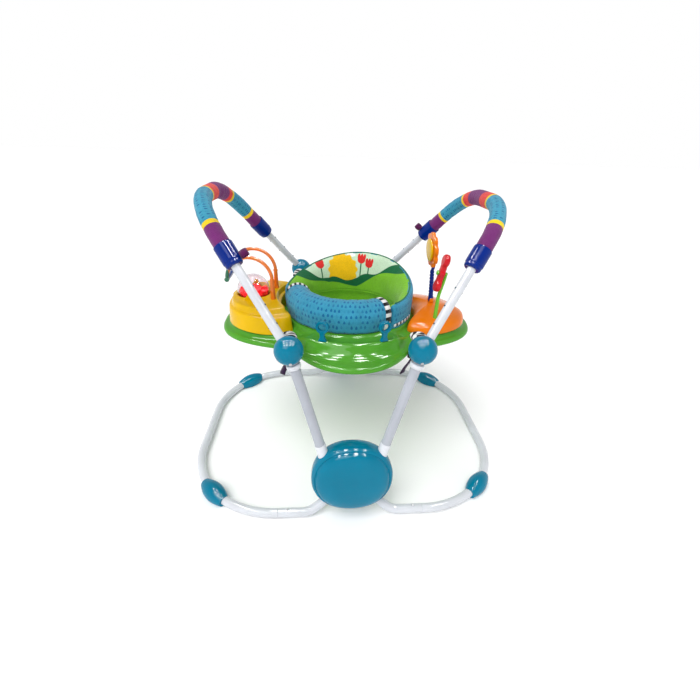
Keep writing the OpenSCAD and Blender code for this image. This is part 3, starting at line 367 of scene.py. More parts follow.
def finishMesh(bm, name, materials, subdiv=0, body=None, instead=()):
    bmesh.ops.scale(bm, vec=(mm, mm, mm), verts=bm.verts)
    mesh = bpy.data.meshes.new(name)
    bm.to_mesh(mesh)
    bm.free()
    for m in materials:
        mesh.materials.append(m)
    mesh.shade_smooth()
    obj = bpy.data.objects.new(name, mesh)
    bpy.context.collection.objects.link(obj)
    if subdiv:
        mod = obj.modifiers.new("smooth", "SUBSURF")
        mod.levels = mod.render_levels = subdiv
    if body:
        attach(obj, body)
    if instead:
        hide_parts(*instead)
    return obj


def along(path):  # a point, side and up for each place on a path
    out = []
    side = None
    for i, p in enumerate(path):
        t = (path[min(i + 1, len(path) - 1)] - path[max(i - 1, 0)]).normalized()
        if side is None:
            side = t.orthogonal().normalized()
        side = (side - t * side.dot(t)).normalized()
        out.append((p, side, t.cross(side)))
    return out


def sweep(path, around, radius):
    spots = along(path)

    def place(turn, row):
        p, a, b = spots[row]
        w = tau * turn
        return p + (a * cos(w) + b * sin(w)) * radius(turn, row)
    return skin(around, len(path), place, caps=(True, True))


def corner(turn, values):  # one of four values, for the corners of a flat ribbon
    return values[int(turn * 4) % 4]


sides = (-1, 1, 1, -1)


def mix(a, b, t):
    return a + (b - a) * t


def smooth(t):
    t = min(max(t, 0.0), 1.0)
    return t * t * (3 - 2 * t)


def paintNode(name, material):
    obj = nodes[name]
    obj.data.materials.clear()
    obj.data.materials.append(material)


# tubes, balls and small mouldings: the solids carry on, with their finishes; the lower legs get a darker copy
# of the tube white, painted shade of the tray above
corners = [("front_left", -1, -1), ("front_right", 1, -1), ("back_left", -1, 1), ("back_right", 1, 1)]
for label, sx, sy in corners:
    paintNode("base_tube_" + label, tubeWhite)
    # the lower legs take the darker white: painted shade
    paintNode("lower_leg_" + label, legWhitePaintedShade)
    paintNode("ball_" + label, tealPlastic)
    paintNode("snap_button_" + label, dullSteel)
for name, mat in (
    ("hub_tubes", tubeWhite), ("arch_tube_left", tubeWhite), ("arch_tube_right", tubeWhite),
    ("floor_feet_front", tealPlastic), ("floor_feet_back", tealPlastic), ("leg_sleeves", whitePlastic),
    ("leg_collars", whitePlastic), ("ball_screws", dullSteel), ("strap_guides", dullSteel),
    ("suspension_springs", dullSteel), ("grip_caps_left", bluePlastic), ("grip_caps_right", bluePlastic),
    ("arch_studs", studPlastic), ("strap_runs", darkWeb), ("seat_track", whitePlastic),
    ("strap_buckles", blackPlastic), ("ball_cradle", yellowPlastic), ("toy_rings", tealPlastic),
    ("bead_rails", railPaint), ("toy_ball_shell", clearShell), ("toy_ball_core", coreRed),
    ("flower_disc", yellowPlastic), ("flower_petals", orangePlastic), ("spinner", redPlastic),
    ("seat_ring", whitePlastic),
):
    paintNode(name, mat)


def soften(name, voxel, rounds):  # moulded edges: the solid is remeshed finely and its corners relaxed
    obj = nodes[name]
    grid = obj.modifiers.new("grid", "REMESH")
    grid.mode = "VOXEL"
    grid.voxel_size = voxel * mm
    grid.use_smooth_shade = True
    ease = obj.modifiers.new("ease", "SMOOTH")
    ease.factor = 0.5
    ease.iterations = rounds


for name, voxel, rounds in (("flower_petals", 1.1, 16), ("flower_disc", 1.1, 6), ("spinner", 1.0, 22),
                            ("toy_rings", 0.9, 3), ("ball_cradle", 1.0, 8)):
    soften(name, voxel, rounds)
print("solids painted")


# hubs: a grooved dome and a plain back, clamped at a parting line
hubSettings = {
    "y": 340, "z": 138, "halfW": 109, "halfH": 103, "power": 2.15, "lean": atan(37 / 363),
    "coverRows": [(1, 0.2), (1, 3), (1, 9), (0.995, 12.4), (0.985, 15.3), (0.972, 18.2), (0.955, 20.7),
                  (0.94, 22.4), (0.926, 23.3), (0.916, 23.3), (0.909, 22.4), (0.901, 22.2), (0.894, 23.2),
                  (0.885, 25.4), (0.87, 28.4), (0.85, 31), (0.82, 33.6), (0.78, 36), (0.7, 39), (0.6, 41.4),
                  (0.45, 43.2), (0.3, 44.3), (0.12, 45), (0.05, 45.1)],
    "backRows": [(1, -0.2), (1, -2.5), (1, -6), (0.995, -11), (0.985, -16), (0.965, -22), (0.93, -28),
                 (0.88, -32.5), (0.8, -36), (0.68, -38.2), (0.5, -39.6), (0.2, -40), (0.06, -40.1)],
}


def makeHubs(s):
    lean = s["lean"]

    def half(rows, sy):
        def place(turn, row):
            k, d = rows[row]
            w = tau * turn
            c, n = cos(w), sin(w)
            e = 2 / s["power"]
            x = s["halfW"] * copysign(abs(c) ** e, c) * k
            up = s["halfH"] * copysign(abs(n) ** e, n) * k
            y = s["y"] + d * cos(lean) - up * sin(lean)
            return Vector((x, sy * y, s["z"] + d * sin(lean) + up * cos(lean)))
        return skin(72, len(rows), place, caps=(False, True))
    for side, sy in (("front", -1), ("back", 1)):
        for part, rows in (("Cover", s["coverRows"]), ("Back", s["backRows"])):
            finishMesh(half(rows, sy), side + "Hub" + part, [tealPlastic], 1, "frame",
                       [side + "_hub_" + part.lower()])


makeHubs(hubSettings)


# padded grips over the arches
archSettings = {"ballX": 154, "ballY": 303, "ballZ": 501, "lean": 35.6, "slope": 25.6, "rise": 356,
                "corner": 153, "radius": 21, "from": 265.4, "to": 775.5}


def archMeasures(s):
    k = radians(s["slope"])
    bendS = s["rise"] - s["corner"] + s["corner"] * sin(k)
    leg = bendS / cos(k)
    flat = s["ballY"] - s["corner"] * cos(k) - bendS * tan(k)
    arc = s["corner"] * (pi / 2 - k)
    return k, leg, flat, arc, 2 * (leg + arc + flat)


def archPoint(s, side, d):  # distance d along the tube from the front ball
    k, leg, flat, arc, total = archMeasures(s)
    flip = 1
    if d > total / 2:
        d, flip = total - d, -1
    if d <= leg:
        y, up = -s["ballY"] + d * sin(k), d * cos(k)
    elif d <= leg + arc:
        w = pi - k - (d - leg) / s["corner"]
        y, up = -flat + s["corner"] * cos(w), s["rise"] - s["corner"] + s["corner"] * sin(w)
    else:
        y, up = -flat + d - leg - arc, s["rise"]
    a = radians(s["lean"])
    return Vector((side * (s["ballX"] + up * sin(a)), flip * y, s["ballZ"] + up * cos(a)))


gripShape = {"steps": 150, "snug": 1.6, "swell": 0.8, "wrinkle": 0.7, "closureAt": 0.565, "closureSpan": 0.06,
             "closureFold": 1.5, "seamDepth": 0.9, "seamWidth": 2.2}
gripBands = {
    "knit": rgb(122, 44, 118), "yellow": rgb(244, 210, 30), "blue": rgb(58, 154, 184),
    "dash": rgb(20, 98, 146), "red": rgb(228, 62, 58), "cellsRound": 9, "cellLength": 7.0,
    "left": [(265, "knit"), (322, "yellow"), (332, "blue"), (462, "yellow"), (469, "red"), (522, "knit"),
             (612, "red"), (630, "yellow"), (637, "blue"), (718, "yellow"), (728, "knit")],
    "right": [(265, "knit"), (336, "yellow"), (346, "blue"), (458, "yellow"), (465, "red"), (508, "knit"),
              (587, "red"), (616, "yellow"), (623, "blue"), (716, "yellow"), (725, "knit")],
}


def makeGripCloth(s, b, side):
    span = s["to"] - s["from"]

    def paint(tree):
        part = axesOf(tree, uvPlace(tree))
        bands = tree.nodes.new("ShaderNodeValToRGB")
        bands.color_ramp.interpolation = "CONSTANT"
        stops = bands.color_ramp.elements
        for i, (d, name) in enumerate(b[side]):
            at = max((d - s["from"]) / span, 0)
            stop = stops[i] if i < 2 else stops.new(at)
            stop.position, stop.color = at, b[name]
        tree.links.new(part[1], bands.inputs[0])
        tone = addNode(tree, "ShaderNodeSeparateColor", {0: bands.outputs[0]}).outputs
        dash = useGroup(tree, dropPrint, {
            "Along": calc(tree, "MULTIPLY", part[0], float(b["cellsRound"])),
            "Across": calc(tree, "MULTIPLY", part[1], span / b["cellLength"]), "Width": 0.24})["Mask"]
        isBlue = calc(tree, "LESS_THAN", tone[0], 0.08)
        spotted = mixColour(tree, calc(tree, "MULTIPLY", dash, isBlue), bands.outputs[0], b["dash"])
        # dark stripes along the knit's rib grooves, in a darker purple: painted shade
        rib = calc(tree, "SINE", calc(tree, "MULTIPLY", part[1], span * 1.8))
        isKnit = calc(tree, "COMPARE", tone[1], b["knit"][1], 0.01)
        knitRibShade = calc(tree, "MULTIPLY", isKnit, ramp(tree, rib, -1.0, 1.0, 0.0, 0.22))
        return mixColour(tree, knitRibShade, spotted, rgb(60, 20, 60))
    return cloth(side + "GripCloth", paint=paint, yarns=3200.0)


def makeGrips(s, g):
    steps = g["steps"]
    for label, side in (("left", -1), ("right", 1)):
        path = [archPoint(s, side, mix(s["from"], s["to"], i / steps)) for i in range(steps + 1)]
        seam = Vector((3.1 * side, 0.7, 1.9))

        def radius(turn, row):
            w = tau * turn
            ends = min(row, steps - row)
            snug = -g["snug"] * exp(-ends / 2.0)
            ripple = noise.noise(path[row] * 0.021 + seam) * g["swell"]
            ripple += noise.noise(Vector((turn * 7, row * 0.33, side * 9.0))) * g["wrinkle"]
            middle = exp(-((row / steps - g["closureAt"]) / g["closureSpan"]) ** 2)
            fold = middle * g["closureFold"] * sin(row * 1.7 + 3 * sin(w))
            ripple += fold * (0.6 + 0.4 * cos(w))
            cut = 0.0
            for d, name in gripBands[label][1:]:
                away = (mix(s["from"], s["to"], row / steps) - d) / g["seamWidth"]
                cut -= g["seamDepth"] * exp(-away * away)
            return s["radius"] - 0.8 + snug + ripple + cut
        wrap = makeGripCloth(s, gripBands, label)
        obj = finishMesh(sweep(path, 40, radius), label + "Grip", [wrap], 1, "frame",
                         ["grip_" + label])


makeGrips(archSettings, gripShape)
print("frame dressed")


# tray: four lobes, rolled lip, flared skirt, round deck edge
traySettings = {"halfW": 366, "sideD": 186, "endY": 152, "endR": 146, "lip": 430, "lipTop": 15, "deck": 478,
                "drop": 20, "wall": 3, "hole": 176, "edgeR": 234, "flange": 458, "around": 240, "power": 2.6,
                "skirt": 28, "pan": 6}


def lobe(a, s=traySettings):
    c, n = abs(cos(a)), abs(sin(a))
    power = s["power"]
    side = ((c / s["halfW"]) ** power + (n / s["sideD"]) ** power) ** (-1 / power)
    end = s["endY"] * n + sqrt(max(s["endR"] ** 2 - (s["endY"] * c) ** 2, 0))
    return (side ** 8 + end ** 8) ** 0.125


def endness(a):
    return smooth((abs(sin(a)) - 0.7) / 0.2)


def traySection(a, s):
    r = lobe(a)
    e = endness(a)
    skirt = mix(s["skirt"], max(s["skirt"], r - s["edgeR"]), e)
    top = s["deck"] - s["drop"] * (1 - e)
    lip, up, w = s["lip"], s["lip"] + s["lipTop"], s["wall"]
    deck, hole, flange = s["deck"], s["hole"], s["flange"]
    rise, edge, inner = top - up, r - skirt, hole + 12
    dip = s["pan"] * smooth((abs(sin(a)) - 0.86) / 0.06)
    return [
        (r - 8.5, lip + 1.5), (r - 6, lip + 0.2), (r - 3, lip), (r - 0.7, lip + 2), (r, lip + 5),
        (r - 0.4, lip + 8.5), (r - 2, lip + 12), (r - 5, lip + 14.2), (r - 8.5, up),
        (r - mix(8, skirt, 0.3), up + 0.03 * rise), (r - mix(8, skirt, 0.5), up + 0.12 * rise),
        (r - mix(8, skirt, 0.68), up + 0.28 * rise), (r - mix(8, skirt, 0.82), up + 0.5 * rise),
        (r - mix(8, skirt, 0.94), up + 0.8 * rise),
        (edge - 1.5, top - 1.6), (edge - 5, top - 0.3), (edge - 8, top),
        (max(edge - 11, inner + 10), top - 0.2 * dip), (max(edge - 14, inner + 8), top - dip),
        (inner + 5, top - dip),
        (inner + 2.2, mix(top - dip, deck, 0.75)), (inner, deck), (hole + 2, deck), (hole + 0.5, deck - 0.6),
        (hole, deck - 2.5), (hole, flange + 0.5), (hole - 0.5, flange), (hole - 7.8, flange),
        (hole - 8, flange - w), (hole + w, flange - w), (hole + w + 1, deck - s["drop"] - w - 3.5),
        (edge - 9, top - w - dip), (edge - 3, top - w - 3),
        (r - mix(8, skirt, 0.82) - w, up + 0.5 * rise - w),
        (r - mix(8, skirt, 0.5) - w, up + 0.12 * rise - w), (r - 11, up - w),
    ]


def makeTray(s):
    sections = {}

    def place(turn, row):
        key = round(turn * s["around"])
        if key not in sections:
            sections[key] = traySection(tau * turn, s)
        r, z = sections[key][row]
        return Vector((r * cos(tau * turn), r * sin(tau * turn), z))
    bm = skin(s["around"], len(traySection(0, s)), place, closed=True)
    finishMesh(bm, "trayShell", [greenPlastic], 1, "tray", ["tray_shell"])


makeTray(traySettings)


# toy bases on the side lobes
baseSettings = {
    "x": 275, "floor": 458.3, "span": 38, "inset": 20, "ring": 193, "around": 120, "well": 50, "flower": 249,
    "shelf": 47, "turret": 63, "stemHole": (238, -100, 6.0), "lugR": 7, "lugT": 4, "lugY": 10.3, "lugZ": 48.3,
    "rightRows": [(0.965, 0), (1, 0), (1.0, 1.5), (1.0, 4), (0.995, 6), (0.985, 8), (0.97, 10.2), (0.95, 12),
                  (0.92, 14.8), (0.88, 17.2), (0.82, 20.2), (0.75, 23.2), (0.67, 26.3), (0.58, 29.6),
                  (0.48, 33), (0.38, 36), (0.28, 38.4), (0.2, 39.6), (0.12, 40), (0.05, 40)],
    "plump": [0, 0, 3, 8, 12, 16, 20, 23, 26, 28.5, 31, 33, 34.6, 36, 37.2, 38.2, 39, 39.6, 40, 40],
}


def baseReach(a, s):  # distance from the toy's middle to its outline
    d = Vector((cos(a), sin(a)))
    low, high = 0.0, 300.0
    for i in range(18):
        middle = (low + high) / 2
        p = Vector((s["x"], 0)) + d * middle
        inside = p.length < lobe(atan2(p.y, p.x)) - s["inset"]
        low, high = (middle, high) if inside else (low, middle)
    far = 500
    depth = s["ring"] ** 2 - (s["x"] * d.y) ** 2
    ringReach = -s["x"] * d.x - sqrt(depth) if d.x < 0 and depth > 0 else far
    slope = tan(radians(s["span"]))
    turn = abs(d.y) - d.x * slope
    sideReach = min(s["x"] * slope / turn, far) if turn > 0.01 else far
    return (low ** -9 + ringReach ** -9 + sideReach ** -9) ** (-1 / 9)


def inStemHole(p, s):
    x, y, r = s["stemHole"]
    return p.z > s["floor"] + 6 and hypot(p.x - x, p.y - y) < r


def makeBases(s):
    line = {}

    def reach(turn):
        key = round(turn * s["around"])
        if key not in line:
            line[key] = baseReach(tau * turn, s)
        return line[key]
    f = s["floor"]
    shelf, turret, well = f + s["shelf"], f + s["turret"], s["well"]
    leftRows = [(1, f), (1.0, f + 1.5), (0.998, f + 4), (0.985, f + 20), (0.97, shelf - 10),
                (0.962, shelf - 5), (0.948, shelf - 1.5), (0.93, shelf - 0.2), (0.88, shelf + 0.3),
                (0.862, shelf + 0.8), (0.85, shelf + 2), (0.842, shelf + 5), (0.82, turret - 5),
                (0.812, turret - 2), (0.798, turret - 0.4), (0.775, turret)]
    wellRows = [(60, turret + 0.3), (54, turret + 1.2), (50, turret + 2.4), (48, turret + 2.9),
                (46.9, turret + 2.4), (46.5, turret + 1), (46.4, turret - 4), (well, turret - 10),
                (well, f + 20), (well, f), (well + 3, f), (well + 4, turret - 3.5)]
    inner = [(0.75, turret - 3), (0.79, turret - 6), (0.82, shelf - 3), (0.9, shelf - 4), (0.935, shelf - 10),
             (0.968, f)]

    def leftPlace(turn, row):
        w = tau * turn
        d = Vector((-cos(w), sin(w), 0))
        c = Vector((-s["x"], 0, 0))
        n = len(leftRows)
        if n <= row < n + len(wellRows):
            r, z = wellRows[row - n]
            return c + d * r + Vector((0, 0, z))
        k, z = leftRows[row] if row < n else inner[row - n - len(wellRows)]
        return c + d * reach(turn) * k + Vector((0, 0, z))
    bm = skin(s["around"], len(leftRows) + len(wellRows) + len(inner), leftPlace, closed=True)
    finishMesh(bm, "leftToyBase", [yellowPlastic], 1, "tray", ["left_toy_base"])

    def rightPlace(turn, row):
        w = tau * turn
        k, z = s["rightRows"][row]
        z = mix(z, s["plump"][row], 0.85 * smooth(0.55 - 0.75 * sin(w)))
        x = mix(s["flower"], s["x"], k) + cos(w) * reach(turn) * k
        return Vector((x, sin(w) * reach(turn) * k, f + z))
    bm = skin(s["around"], len(s["rightRows"]), rightPlace, caps=(False, True))
    hole = [face for face in bm.faces if inStemHole(face.calc_center_median(), s)]
    bmesh.ops.delete(bm, geom=hole, context="FACES")
    for side in (-1, 1):  # lugs for the flower's hinge pin, drawn down into the mound
        lug = bmesh.ops.create_cone(bm, cap_ends=True, segments=32, radius1=s["lugR"], radius2=s["lugR"],
                                    depth=s["lugT"])["verts"]
        bmesh.ops.rotate(bm, verts=lug, cent=(0, 0, 0), matrix=Matrix.Rotation(pi / 2, 3, "X"))
        for v in lug:
            v.co.z = -9 if v.co.z < -1 else v.co.z
        bmesh.ops.translate(bm, verts=lug, vec=(s["flower"], side * s["lugY"], f + s["lugZ"]))
    finishMesh(bm, "rightToyBase", [orangePlastic], 1, "tray", ["right_toy_base"])


makeBases(baseSettings)


# flower stem: a ribbed bending tube with a strut behind the petals
stemSettings = {"x": 249, "pivot": 506.6, "lean": radians(5), "length": 148.97, "top": 93.97,
                "rib": 10.0, "ribDepth": 2.0, "ribRows": 62}


def makeFlowerStem(s):
    def spot(across, up):
        c, n = cos(s["lean"]), sin(s["lean"])
        return Vector((s["x"] + across * c - up * n, 0, s["pivot"] + across * n + up * c))
    rows = [(-7.4, 0, 2.5), (-6.5, 0, 5.0), (-4, 0, 7.2), (0, 0, 8.0), (5, 0, 8.0), (9, 0, 7.4)]
    for i in range(s["ribRows"]):
        far = i / (s["ribRows"] - 1)
        up = mix(11, s["top"] - 4, far)
        groove = smooth(abs(((up / s["rib"]) % 1) - 0.5) * 5 - 1.6)
        rows.append((up, 0, mix(7.2, 6.2, far) - s["ribDepth"] * groove))
    top, end = s["top"], s["length"]
    rows += [(top, 1.5, 5.2), (top + 4, 5, 3.6), (top + 10, 6.2, 3.0), (end - 10, 6.4, 3.0),
             (end - 2, 6.4, 6.0), (end + 6, 6.4, 6.0)]
    path = [spot(across, up) for up, across, r in rows]
    bm = sweep(path, 28, lambda turn, row: rows[row][2])
    finishMesh(bm, "flowerStem", [bluePlastic], 1, "flower", ["flower_stem"])


makeFlowerStem(stemSettings)


# green stalk: a bowed stem with the spinner's axle and its round end knob
stalkSettings = {
    "foot": 462, "top": 616.5, "x": 238, "y": -100, "bow": 11.5, "bowFrom": 545, "bowOver": 75, "steps": 34,
    "footR": 6.2, "topR": 3.8, "flare": 1.4, "spin": Vector((237, -100, 619)), "tilt": radians(11),
    "pinRows": [(-16.6, 1.5), (-16.2, 3.8), (-14.6, 5.2), (-12.4, 5.4), (-11.4, 4.8), (-11.2, 3.4), (9, 3.4),
                (9, 5.2), (10.2, 6.6), (12.4, 6.4), (13.8, 4.4), (14.3, 1.5)],
}


def makeStalk(s):
    axis = Vector((-cos(s["tilt"]), 0, sin(s["tilt"])))
    steps = s["steps"]
    path = []
    for i in range(steps + 1):
        z = mix(s["foot"], s["top"], i / steps)
        path.append(Vector((s["x"] + s["bow"] * smooth((z - s["bowFrom"]) / s["bowOver"]), s["y"], z)))

    def radius(turn, row):
        return mix(s["footR"], s["topR"], row / steps) + s["flare"] * exp(-row / 1.6)
    bm = sweep(path, 20, radius)
    rows = s["pinRows"]
    spots = [s["spin"] + axis * d for d, r in rows]
    side, up = Vector((0, 1, 0)), axis.cross(Vector((0, 1, 0)))

    def pinPlace(turn, row):
        w = tau * turn
        return spots[row] + (side * cos(w) + up * sin(w)) * rows[row][1]
    pin = skin(24, len(rows), pinPlace, caps=(True, True))
    pinMesh = bpy.data.meshes.new("stalkPin")
    pin.to_mesh(pinMesh)
    pin.free()
    bm.from_mesh(pinMesh)
    bpy.data.meshes.remove(pinMesh)
    finishMesh(bm, "spinnerStalk", [limePlastic], 1, "tray", ["spinner_stem"])


makeStalk(stalkSettings)
print("tray dressed")


# seat: padded wall, bolster, sling, ribbons
seatSettings = {"turn": 26, "ring": 482.3, "inner": 149, "outer": 187, "sideZ": 546, "backZ": 600,
                "first": 62, "bolsterR": 148, "bolsterD": 78, "bolsterZ": 521.3, "span": 60,
                "slingTop": 433.7, "slingZ": 296, "slingR": 161.2, "slingFolds": 14, "slingT": 2.2,
                "legHole": 112, "legZ": 361, "legTurn": 42,
                "cuff": [(148.6, 480), (151, 476), (155.5, 466), (158.6, 452), (159.8, 441)]}


def seatPoint(r, deg, z, s=seatSettings):  # deg from the seat's front
    a, t = radians(deg), radians(s["turn"])
    x, y = r * sin(a), -r * cos(a)
    return Vector((x * cos(t) + y * sin(t), -x * sin(t) + y * cos(t), z))


def seatAxes(tree, s):  # angles in degrees from the seat's front and back, radius and height in mm
    part = axesOf(tree, objectPlace(tree))
    t = radians(s["turn"])
    times = lambda a, k: calc(tree, "MULTIPLY", a, k)
    fx = calc(tree, "SUBTRACT", times(part[0], cos(t)), times(part[1], sin(t)))
    fy = calc(tree, "ADD", times(part[0], sin(t)), times(part[1], cos(t)))
    angle = times(calc(tree, "ARCTAN2", fx, times(fy, -1.0)), 180 / pi)
    behind = times(calc(tree, "ARCTAN2", times(fx, -1.0), fy), 180 / pi)
    radius = calc(tree, "SQRT", calc(tree, "ADD", times(part[0], part[0]), times(part[1], part[1])))
    return angle, times(radius, 1000.0), times(part[2], 1000.0), behind


printSettings = {"light": rgb(54, 147, 180), "drop": rgb(24, 104, 152), "sky": rgb(204, 230, 200),
                 "lime": rgb(128, 196, 44), "leaf": rgb(12, 104, 60), "sun": rgb(246, 194, 10),
                 "red": rgb(220, 44, 40), "cloud": rgb(246, 250, 246),
                 "cellW": 11.0, "cellH": 15.0, "dropWidth": 0.26, "wallR": 160, "sunRays": 13.0,
                 "rayLength": 3.0, "sunAt": (84, 544, 50), "tulips": [(-6, 570), (22, 580), (160, 566)],
                 "clouds": [(56, 592, 13, 5), (132, 590, 20, 6), (146, 585, 16, 5)]}


def dropPaint(tree, across, along, p):
    drops = useGroup(tree, dropPrint, {"Across": across, "Along": along, "Width": p["dropWidth"]})
    return mixColour(tree, drops["Mask"], p["light"], p["drop"])


def bolsterPaint(tree):
    s, p = seatSettings, printSettings
    angle, radius, height, behind = seatAxes(tree, s)
    arc = calc(tree, "MULTIPLY", angle, pi / 180 * (s["bolsterR"] + 20) / p["cellW"])
    rise, reach = calc(tree, "SUBTRACT", height, s["bolsterZ"]), calc(tree, "SUBTRACT", radius, s["bolsterR"])
    roll = calc(tree, "ARCTAN2", rise, reach)
    rows = calc(tree, "MULTIPLY", roll, s["bolsterD"] / 2 / p["cellH"])
    return dropPaint(tree, arc, rows, p)


def outerPaint(tree):
    s, p = seatSettings, printSettings
    angle, radius, height, behind = seatAxes(tree, s)
    arc = calc(tree, "MULTIPLY", behind, pi / 180 * s["outer"] / p["cellW"])
    rows = calc(tree, "DIVIDE", height, p["cellH"])
    return dropPaint(tree, arc, rows, p)


def innerPaint(tree):  # a plain sky with small clouds, a sun behind rolling hills and three tulips
    s, p = seatSettings, printSettings
    angle, radius, height, behind = seatAxes(tree, s)
    arc = calc(tree, "MULTIPLY", behind, pi / 180 * p["wallR"])

    def wave(length, shift, size):
        phase = calc(tree, "ADD", calc(tree, "DIVIDE", arc, length), shift)
        return calc(tree, "MULTIPLY", calc(tree, "SINE", phase), size)

    def spot(u, v, ru, rv, edge=0.12):
        wide = square(tree, calc(tree, "DIVIDE", calc(tree, "SUBTRACT", arc, u), ru))
        high = square(tree, calc(tree, "DIVIDE", calc(tree, "SUBTRACT", height, v), rv))
        return ramp(tree, calc(tree, "ADD", wide, high), 1 + edge, 1 - edge)

    def above(hills, level):
        return calc(tree, "SUBTRACT", height, calc(tree, "ADD", calc(tree, "ADD", hills, level), lift))
    aside = calc(tree, "ABSOLUTE", calc(tree, "SUBTRACT", arc, float(p["sunAt"][0])))
    lift = calc(tree, "MULTIPLY", calc(tree, "MAXIMUM", calc(tree, "SUBTRACT", aside, 52.0), 0.0), 0.45)
    far = above(wave(17.0, 0.8, 7.0), 520.0)
    near = above(wave(29.0, 3.4, 8.0), 502.0)
    out = p["sky"]
    for u, v, ru, rv in p["clouds"]:
        out = mixColour(tree, spot(u, v, ru, rv), out, p["cloud"])
    u, v, size = p["sunAt"]
    du, dv = calc(tree, "SUBTRACT", arc, u), calc(tree, "SUBTRACT", height, v)
    ray = calc(tree, "SINE", calc(tree, "MULTIPLY", calc(tree, "ARCTAN2", dv, du), p["sunRays"]))
    squares = [calc(tree, "MULTIPLY", d, d) for d in (du, dv)]
    away = calc(tree, "SQRT", calc(tree, "ADD", *squares))
    wavy = calc(tree, "SUBTRACT", away, calc(tree, "MULTIPLY", ray, p["rayLength"]))
    sun = ramp(tree, wavy, size + 1.0, size - 1.0)
    out = mixColour(tree, sun, out, p["sun"])
    out = mixColour(tree, ramp(tree, far, 0.5, -0.5), out, p["leaf"])
    puff = sun
    for u, v in p["tulips"]:
        stalk = calc(tree, "MULTIPLY", spot(u, v - 22, 2.2, 60.0), calc(tree, "LESS_THAN", height, float(v)))
        out = mixColour(tree, stalk, out, p["leaf"])
        cup = spot(u, v, 13.0, 11.0)
        for du in (-9, 0, 9):
            cup = calc(tree, "MAXIMUM", cup, spot(u + du, v + 8, 4.6, 9.0))
        out = mixColour(tree, cup, out, p["red"])
        puff = calc(tree, "MAXIMUM", puff, cup)
    hill = ramp(tree, near, 0.5, -0.5)
    puff = calc(tree, "MULTIPLY", puff, calc(tree, "SUBTRACT", 1.0, hill))
    return [mixColour(tree, hill, out, p["lime"]), puff]


def zebraPaint(tree):
    stretch = {"Vector": uvPlace(tree), "Scale": (2.0, 3.2, 1.0)}
    spread = addNode(tree, "ShaderNodeMapping", stretch).outputs[0]
    waves = {"Vector": spread, "Scale": 1.1, "Distortion": 5.0, "Detail": 1.0, "Detail Scale": 1.4}
    band = addNode(tree, "ShaderNodeTexWave", waves, bands_direction="DIAGONAL").outputs["Fac"]
    return mixColour(tree, ramp(tree, band, 0.54, 0.62), rgb(22, 22, 26), rgb(238, 238, 236))


def ribbonPaint(tree):
    stripes = 6.0
    band = calc(tree, "FRACT", calc(tree, "MULTIPLY", axesOf(tree, uvPlace(tree))[1], stripes))
    return mixColour(tree, calc(tree, "LESS_THAN", band, 0.52), rgb(24, 24, 28), rgb(240, 240, 238))


bolsterCloth = cloth("bolsterCloth", paint=bolsterPaint)
outerCloth = cloth("outerCloth", paint=outerPaint)
innerCloth = cloth("innerCloth", paint=innerPaint)
zebraCloth = cloth("zebraCloth", paint=zebraPaint)
ribbonCloth = cloth("ribbonCloth", paint=ribbonPaint, yarns=4200.0)
edgeCloth = cloth("edgeCloth", rgb(30, 118, 80))
slingCloth = cloth("slingCloth", printSettings["lime"])


def wallTop(deg, s):
    t = min(max((deg - 75) / 105, 0), 2)
    return mix(s["sideZ"], s["backZ"], (0.5 - 0.5 * cos(pi * t)) ** 0.8)


def makeSeatWall(s):
    rows, around = 96, 28
    z0, i, o = s["ring"], s["inner"], s["outer"]

    def section(deg):
        top = wallTop(deg, s)
        h = top - z0
        return [
            (i - 1.5, z0 - 7), (i - 3, z0 + 0.1 * h), (i - 4, z0 + 0.3 * h), (i - 3, z0 + 0.45 * h),
            (i, z0 + 0.6 * h), (i + 4, z0 + 0.72 * h), (i + 9, z0 + 0.84 * h), (i + 14, top - 8),
            (i + 18, top - 3.5), (i + 22, top - 1), (i + 26, top), (i + 30, top - 0.6), (i + 33, top - 2.6),
            (o - 2.5, top - 6), (o - 1, top - 11), (o - 0.6, z0 + 0.74 * h), (o, z0 + 0.6 * h),
            (o, z0 + 0.46 * h), (o - 0.3, z0 + 0.32 * h), (o - 0.4, z0 + 0.16 * h), (o - 1, z0 + 2),
            (o - 1.5, z0 - 8), (o - 3, z0 - 15.5), (o - 6, z0 - 16), (o - 7, z0 - 8), (o - 12, z0 + 0.2),
            (i + 7, z0 + 0.2), (i + 3, z0 + 0.5),
        ]

    def place(turn, row):
        deg = mix(s["first"], 360 - s["first"], row / (rows - 1))
        pts = section(deg)
        r, z = pts[round(turn * around) % around]
        ends = min(row, rows - 1 - row)
        k = (0.72, 0.92, 0.98)[ends] if ends < 3 else 1.0
        mid = Vector((i + 19, (z0 + wallTop(deg, s)) / 2))
        r, z = mid.x + (r - mid.x) * k, mid.y + (z - mid.y) * (k if ends else 0.94)
        h = (z - z0) / 60
        pull = noise.noise(Vector((deg * 0.09, z * 0.03, 4.0))) * 1.6
        pull += noise.noise(Vector((deg * 0.3, z * 0.02, 9.0))) * 0.8
        inward = r < i + 20
        r += pull * (1.3 if inward else 0.6) * min(h * 2, 1)
        return seatPoint(r, deg, z if r > o - 8 or r < i else max(z, z0))
    bm = skin(around, rows, place, caps=(True, True))
    for f in bm.faces:
        mid = f.calc_center_median()
        f.material_index = 1 if hypot(mid.x, mid.y) < i + 24 else 0
    obj = finishMesh(bm, "seatWall", [outerCloth, innerCloth], 1, "seat", ["seat_wall"])
    turns = range(s["first"] + 4, 357 - s["first"], 3)
    edge = [seatPoint(i + 26.5, deg, wallTop(deg, s) + 0.6) for deg in turns]
    finishMesh(sweep(edge, 10, lambda t, r: 2.0), "seatPiping", [edgeCloth], 1, "seat")


